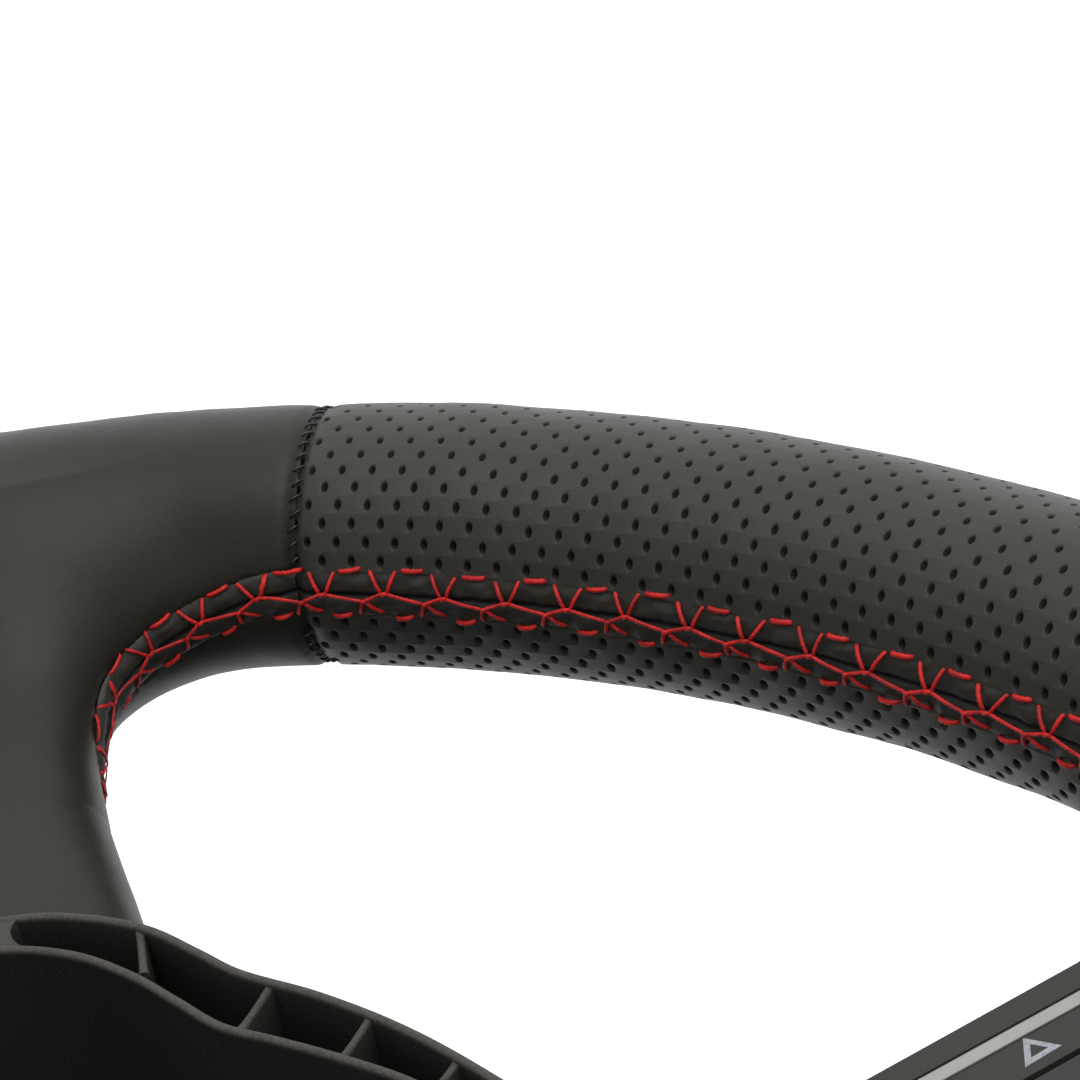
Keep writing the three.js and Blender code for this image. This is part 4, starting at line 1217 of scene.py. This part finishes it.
# The second colour of each is for its edges: wear, and a painted highlight.
SOFT_TOUCH = moulded("soft_touch_plastic", SPOKE_TONE, (0.04, 0.0395, 0.035), 0.5, 0.00002)
KEY_TOUCH = moulded("key_plastic_face", (0.0155, 0.0155, 0.0145), (0.036, 0.036, 0.033), 0.52, 0.00002)
SATIN = Finish("satin_silver_inlay", Roughness=0.34)
satin_patch = SATIN.noise(260, 2)
satin_line = SATIN.noise(3800, 2)
SATIN.feed("Base Color", SATIN.blend(satin_patch, (0.185, 0.19, 0.178), (0.24, 0.245, 0.23)))
SATIN.feed("Metallic", satin_patch * 0.1 + 0.35)
SATIN.feed("Normal", SATIN.bump(satin_line, 0.000015, 0.5))
PRINT = Finish("printed_marks", Roughness=0.5)
ink = PRINT.noise(2400, 2)
PRINT.feed("Base Color", PRINT.blend(ink.step(0.25, 0.6), (0.13, 0.145, 0.16), (0.20, 0.215, 0.235)))


def softened(node, name, finish, width, body="wheel", angle=30, segments=2):
    """The node's solid as a piece of its own with rounded edges, painted paler for wear and as a painted
    highlight, width in millimetres.
    """
    bm = bmesh.new()
    bm.from_mesh(bpy.data.objects[node].data)
    bmesh.ops.remove_doubles(bm, verts=bm.verts, dist=2e-6)
    bmesh.ops.dissolve_limit(bm, angle_limit=math.radians(1.5), verts=bm.verts, edges=bm.edges)
    edges = [e for e in bm.edges if len(e.link_faces) == 2 and e.calc_face_angle(0) > math.radians(angle)]
    bmesh.ops.bevel(bm, geom=edges, offset=width * MM, offset_type="OFFSET", segments=segments, profile=0.6,
                    affect="EDGES", clamp_overlap=True, harden_normals=False)
    bmesh.ops.triangulate(bm, faces=[f for f in bm.faces if len(f.verts) > 4])
    mesh = bpy.data.meshes.new(name)
    bm.to_mesh(mesh)
    bm.free()
    # Painted highlight and wear: points of the small bevel faces that turn from their neighbours are marked
    # to be painted paler.
    sharp = np.zeros(len(mesh.vertices))
    normals = np.array([v.normal for v in mesh.vertices])
    for polygon in mesh.polygons:
        if polygon.area < (width * MM * 1.6) ** 2 * 4:
            for index in polygon.vertices:
                away = 1 - abs(float(np.dot(normals[index], polygon.normal)))
                sharp[index] = max(sharp[index], min(1.0, 6 * away))
    mark_points(mesh, EDGE_WEAR_AND_HIGHLIGHT, sharp)
    mesh.shade_smooth()
    mesh.set_sharp_from_angle(angle=math.radians(34))
    mesh.materials.append(finish.material)
    piece = linked(name, mesh)
    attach(piece, body)
    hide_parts(node)
    return piece


def stroke(points, width, closed=True):
    """A flat line of even width through plan points, as a strip of quads."""
    p = np.array(points, float)
    ahead = np.roll(p, -1, 0) - p
    ahead /= np.linalg.norm(ahead, axis=1, keepdims=True)
    if not closed:
        ahead[-1] = ahead[-2]
    back = np.roll(ahead, 1, 0)
    if not closed:
        back[0] = ahead[0]
    mitre = np.stack([ahead[:, 1] + back[:, 1], -ahead[:, 0] - back[:, 0]], -1)
    mitre /= np.linalg.norm(mitre, axis=1, keepdims=True)
    cosine = mitre[:, 0] * ahead[:, 1] - mitre[:, 1] * ahead[:, 0]
    shift = mitre * (width / 2 / np.maximum(np.abs(cosine), 0.35))[:, None]
    n = len(p)
    flat = np.concatenate([p + shift, p - shift])
    faces = [(i, (i + 1) % n, n + (i + 1) % n, n + i) for i in range(n if closed else n - 1)]
    return flat, faces


def print_marks(hand, side, top):
    """Generic outlined marks beside the keys: a triangle, a barred ring and a square."""
    parts = Parts()
    corner = np.array([[-108.25, -34.75], [-107.45, -32.1], [-110.35, -33.25]])
    circle = np.stack([np.cos(angles(28)), np.sin(angles(28))], -1)
    square = np.array([[-1, -1], [1, -1], [1, 1], [-1, 1]])
    marks = [(corner, 0.58, True), (circle * 1.35 + (-131, -41.5), 0.5, True),
             (square * 1.25 + (-131, 28.5), 0.5, True), ([(-132.6, -41.5), (-129.4, -41.5)], 0.45, False)]
    for points, width, closed in marks:
        flat, faces = stroke(points, width, closed)
        n = len(flat)
        solid = np.concatenate([np.column_stack([flat, np.full(n, top + 0.02)]),
                                np.column_stack([flat, np.full(n, top - 0.15)])])
        edges = [edge for f in faces for edge in zip(f, f[1:] + f[:1])]
        sides = [(b, a, a + n, b + n) for a, b in edges if (b, a) not in edges]
        parts.take(solid * (-side, 1, 1), faces + shifted([f[::-1] for f in faces], n) + sides)
    piece = parts.build("marks_" + hand, PRINT)
    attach(piece, "wheel")


KEY_NAMES = [row + "_" + column for row in ("lower", "upper") for column in ("inner", "outer")]
for hand, side in (("left", -1), ("right", 1)):
    softened("spoke_housing_" + hand, "housing_" + hand, SOFT_TOUCH, 0.45)
    softened("spoke_back_" + hand, "rear_shell_" + hand, SOFT_TOUCH, 0.6)
    softened("silver_strip_" + hand, "inlay_" + hand, SATIN, 0.2)
    for place in KEY_NAMES:
        node = "key_" + hand + "_" + place
        softened(node, "push_" + node, KEY_TOUCH, 0.5, body=node)
    print_marks(hand, side, (RIM_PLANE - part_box("spoke_housing_" + hand)[0][1]) / MM)

# --- Hub, covers and fasteners ------------------------------------------------------------------
# Cast aluminium hub plate behind the surround, a moulded back cover, and plated steel screws.
CAST = Finish("cast_aluminium", Metallic=0.9)
pitting = CAST.noise(900, 4, 0.7)
stain = CAST.noise(60, 3)
CAST.feed("Base Color", CAST.blend(stain, (0.20, 0.20, 0.21), (0.33, 0.33, 0.34)))
CAST.feed("Roughness", pitting * 0.3 + 0.38)
CAST.feed("Normal", CAST.bump(pitting, 0.0002, 0.7))
STEEL = Finish("turned_steel", Metallic=1.0)
turning = STEEL.noise(1800, 2)
oil = STEEL.noise(120, 3)
STEEL.feed("Base Color", STEEL.blend(oil, (0.26, 0.26, 0.27), (0.40, 0.40, 0.41)))
STEEL.feed("Roughness", turning * 0.12 + oil * 0.1 + 0.2)
STEEL.feed("Normal", STEEL.bump(turning, 0.00003, 0.5))
BLACK_STEEL = Finish("black_oxide_steel", Metallic=0.9)
soot = BLACK_STEEL.noise(600, 3)
BLACK_STEEL.feed("Base Color", BLACK_STEEL.blend(soot, (0.012, 0.012, 0.013), (0.04, 0.04, 0.042)))
BLACK_STEEL.feed("Roughness", soot * 0.2 + 0.32)
BLACK_STEEL.feed("Normal", BLACK_STEEL.bump(soot, 0.00003, 0.5))
softened("hub_casting", "cast_hub", CAST, 0.7)
softened("back_cover", "rear_cover", NYLON, 0.35)
for number in range(1, 5):
    softened("surround_screw_%d" % number, "front_screw_%d" % number, BLACK_STEEL, 0.25)
    softened("back_cover_screw_%d" % number, "rear_screw_%d" % number, BLACK_STEEL, 0.25)
for number in range(1, 7):
    softened("hub_bolt_%d" % number, "socket_bolt_%d" % number, BLACK_STEEL, 0.3)


def eased(profile):
    """A closed profile of (radius, z) with its corners rounded, and how much each of its points is painted
    paler, for wear and as a painted highlight.
    """
    profile = np.array(profile, float)
    fine, wear_and_sheen = [], []
    for i, corner in enumerate(profile):
        before, after = profile[i - 1] - corner, profile[(i + 1) % len(profile)] - corner
        a, b = np.linalg.norm(before), np.linalg.norm(after)
        cut = min(0.4, a / 3, b / 3)
        if corner[0] < 1e-6:
            fine.append(corner)
            wear_and_sheen.append(0)
            continue
        keen = np.dot(before, after) / a / b > -0.85
        for u in (0, 0.35, 0.65, 1):
            fine.append(corner + before / a * cut * (1 - u) ** 1.5 + after / b * cut * u ** 1.5)
            wear_and_sheen.append(keen * (0.8 if 0 < u < 1 else 0.3))
    return np.array(fine), wear_and_sheen


def turned(name, node, profile, finish, body, slot, segments=128, sharp=30):
    """A piece turned from a closed profile of (radius, z), painted paler for wear and as a painted highlight
    where the profile turns sharply.
    """
    fine, wear_and_sheen = eased(profile)
    a = angles(segments)[:, None]
    rings = np.broadcast_arrays(fine[:, 0] * np.cos(a), fine[:, 0] * np.sin(a), fine[:, 1])
    parts = Parts()
    parts.take(np.stack(rings, -1), ring_faces(segments, len(fine)), np.tile(wear_and_sheen, segments))
    piece = parts.build(name, finish, sharp)
    weld(piece, 1e-7, 1e-8)
    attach(piece, body)
    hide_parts(node)
    return piece


def depth_of(node):
    """Back and front of a node in wheel millimetres."""
    low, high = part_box(node)
    return (RIM_PLANE - high[1]) / MM, (RIM_PLANE - low[1]) / MM


def wind_spring(name, node, wire, turns, travel):
    """A coil from the node's back to its front. It is built at one length and does not shorten as its joint
    moves.
    """
    back, front = depth_of(node)
    radius = (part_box(node)[1][0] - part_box(node)[0][0]) / 2 / MM - wire
    t = np.linspace(0, 1, int(44 * turns))
    # The end turns are closed, the others evenly spaced.
    rise = np.interp(t * turns, (0, 0.7, turns - 0.7, turns), (0, 0.35 * wire, front - back - 2.35 * wire,
                                                               front - back - 2 * wire))
    a, ring = 2 * np.pi * turns * t, angles(12)
    spine = np.column_stack([radius * np.cos(a), radius * np.sin(a), back + wire + rise])
    out = np.column_stack([np.cos(a), np.sin(a), 0 * a])
    rings = spine[:, None] + wire * 0.97 * (np.cos(ring)[None, :, None] * out[:, None]
                                            + np.sin(ring)[None, :, None] * (0, 0, 1.0))
    points, faces = loft(rings)
    piece = mesh_object(name, stand_up(points), faces, STEEL)
    turn_out(piece)
    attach(piece, "wheel")
    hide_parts(node)
    1 - travel / (front - back)
    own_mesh(piece)


# --- Horn button --------------------------------------------------------------------------------
# A domed push button in a short tube, held by a thin red ring and sprung on its contact.
# Its second colour is for its edges: wear, and a painted highlight.
HORN_PLASTIC = moulded("horn_button_plastic", (0.010, 0.010, 0.010), (0.05, 0.05, 0.05), 0.38, 0.00003)
RED_METAL = Finish("red_anodised_aluminium", Metallic=1.0)
dye = RED_METAL.noise(160, 3)
brushed = RED_METAL.noise(2600, 2)
RED_METAL.feed("Base Color", RED_METAL.blend(dye, (0.30, 0.012, 0.010), (0.42, 0.022, 0.018)))
RED_METAL.feed("Roughness", brushed * 0.14 + 0.24)
RED_METAL.feed("Normal", RED_METAL.bump(brushed, 0.00002, 0.5))
tube_back, tube_front = depth_of("horn_housing")
TUBE_OUTER, TUBE_INNER, TUBE_BORE, TUBE_FLOOR = 29, 27.4, 6, 2
turned("horn_tube", "horn_housing", [
    (TUBE_OUTER, tube_back), (TUBE_OUTER, tube_front), (TUBE_INNER, tube_front),
    (TUBE_INNER, tube_back + TUBE_FLOOR), (TUBE_BORE, tube_back + TUBE_FLOOR), (TUBE_BORE, tube_back)],
    HORN_PLASTIC, "wheel", "ribbed_nylon")
cap_r = 25.5
cap = [(0, tube_front + 3), (cap_r * 0.3, tube_front + 2.85), (cap_r * 0.6, tube_front + 2.2),
       (cap_r * 0.8, tube_front + 1.3), (cap_r - 2, tube_front + 0.5), (cap_r - 1.5, tube_front - 0.4),
       (cap_r - 1.5, tube_front - 3), (cap_r + 1.2, tube_front - 3.2), (cap_r + 1.2, tube_front - 5),
       (cap_r, tube_front - 5), (cap_r, tube_front - 8), (cap_r - 2, tube_front - 8),
       (cap_r - 2, tube_front - 3.5), (0, tube_front - 2.5)]
turned("horn_button", "horn_cap", cap, HORN_PLASTIC, "horn_cap", "horn_plastic")
ring_back, ring_front = depth_of("horn_retaining_ring")
ring_outer = (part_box("horn_retaining_ring")[1][0]) / MM
RING_BORE = 25
turned("horn_ring", "horn_retaining_ring", [
    (ring_outer, ring_back), (ring_outer, ring_front), (RING_BORE, ring_front), (RING_BORE, ring_back)],
    RED_METAL, "wheel", "red_anodised")
wind_spring("horn_coil", "horn_spring", 0.7, 4, 3.0)

# --- Quick release ------------------------------------------------------------------------------
# Ball-lock release: a splined sleeve on the hub, a splined boss on the column, and a sprung collar
# with a knurled waist that is pulled back to free the balls.
softened("quick_release_hub", "release_sleeve", STEEL, 0.35, angle=40)
softened("snap_ring", "spring_clip", STEEL, 0.2, angle=40)
softened("column_boss", "splined_boss", STEEL, 0.35, body="column_side", angle=40)
collar_back, collar_front = depth_of("release_collar")
collar_low, collar_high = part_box("release_collar")
collar_r = (collar_high[0] - collar_low[0]) / 2 / MM
SPRING_WIRE, SPRING_TURNS = 1, 2.2
BORE = 22.2
RAMP = 22.95
waist_r = collar_r - 1.5
waist_back, waist_front = collar_back + 8, collar_front - 6
turned("collar_sleeve", "release_collar", [
    (BORE, collar_back), (collar_r - 2, collar_back), (collar_r, collar_back + 2), (collar_r, waist_back - 2),
    (waist_r, waist_back), (waist_r, waist_front), (collar_r, waist_front + 2),
    (collar_r, collar_front - 1), (collar_r - 1, collar_front), (BORE, collar_front), (BORE, -61.5),
    (RAMP, -62), (RAMP + 1.2, -75), (BORE, -77)], RED_METAL, "release_collar", "red_anodised", 160)


def knurl_collar():
    """Diamond knurling round the collar's waist."""
    columns, rows = 120, 7
    pitch = 2 * math.pi * waist_r / columns
    row_pitch = (waist_front - waist_back) / rows
    w, h = pitch / 2, row_pitch / 2
    points = [(-w, 0, 0), (0, -h, 0), (w, 0, 0), (0, h, 0), (0, 0, 0.45), (0, 0, -0.2)]
    faces = [(0, 1, 4), (1, 2, 4), (2, 3, 4), (3, 0, 4), (1, 0, 5), (2, 1, 5), (3, 2, 5), (0, 3, 5)]
    flat, faces = repeated(points, faces, RED_METAL, columns, rows, pitch, row_pitch, 0.0)
    a = flat[:, 0] / (columns * pitch) * 2 * np.pi
    r = waist_r - 0.02 + flat[:, 2]
    z = waist_back + row_pitch / 2 + flat[:, 1]
    parts = Parts()
    parts.take(np.column_stack([r * np.cos(a), r * np.sin(a), z]), faces)
    piece = parts.build("collar_knurl", RED_METAL, 20)
    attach(piece, "release_collar")


knurl_collar()
wind_spring("collar_coil", "collar_spring", SPRING_WIRE, SPRING_TURNS, 8.0)


BALL_RADIUS = 3


def grind_ball(number):
    node = "lock_ball_%d" % number
    low, high = (np.array(c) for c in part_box(node))
    bm = bmesh.new()
    bmesh.ops.create_icosphere(bm, subdivisions=4, radius=BALL_RADIUS * MM)
    bmesh.ops.translate(bm, verts=bm.verts, vec=(low + high) / 2)
    mesh = bpy.data.meshes.new("ball_%d" % number)
    bm.to_mesh(mesh)
    bm.free()
    mesh.shade_smooth()
    mesh.materials.append(STEEL.material)
    piece = linked("ball_%d" % number, mesh)
    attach(piece, node)
    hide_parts(node)


for number in range(1, 7):
    grind_ball(number)

# --- Finishes of the parts kept as they are -----------------------------------------------------
# Boards, mats, contact and core ring keep their solids and take their own materials.
BOARD = Finish("green_lacquer", Roughness=0.35)
tracks = BOARD.cells(300, "F1", 0.4)
BOARD.feed("Base Color", BOARD.blend(tracks.step(0.1, 0.3), (0.02, 0.13, 0.05), (0.01, 0.07, 0.03)))
RUBBER = Finish("silicone_rubber", Roughness=0.7)
dust = RUBBER.noise(700, 3)
RUBBER.feed("Base Color", RUBBER.blend(dust, (0.008, 0.008, 0.008), (0.02, 0.02, 0.02)))
BRASS = Finish("brass_sheet", Metallic=1.0)
tarnish = BRASS.noise(200, 3)
BRASS.feed("Base Color", BRASS.blend(tarnish, (0.36, 0.20, 0.06), (0.55, 0.34, 0.11)))
BRASS.feed("Roughness", tarnish * 0.2 + 0.25)
for node, finish in (("rim_core_ring", STEEL), ("horn_contact", BRASS), ("switch_board_left", BOARD),
                     ("switch_board_right", BOARD), ("key_mat_left", RUBBER), ("key_mat_right", RUBBER)):
    part = bpy.data.objects[node]
    for slot in part.material_slots:
        slot.material = finish.material
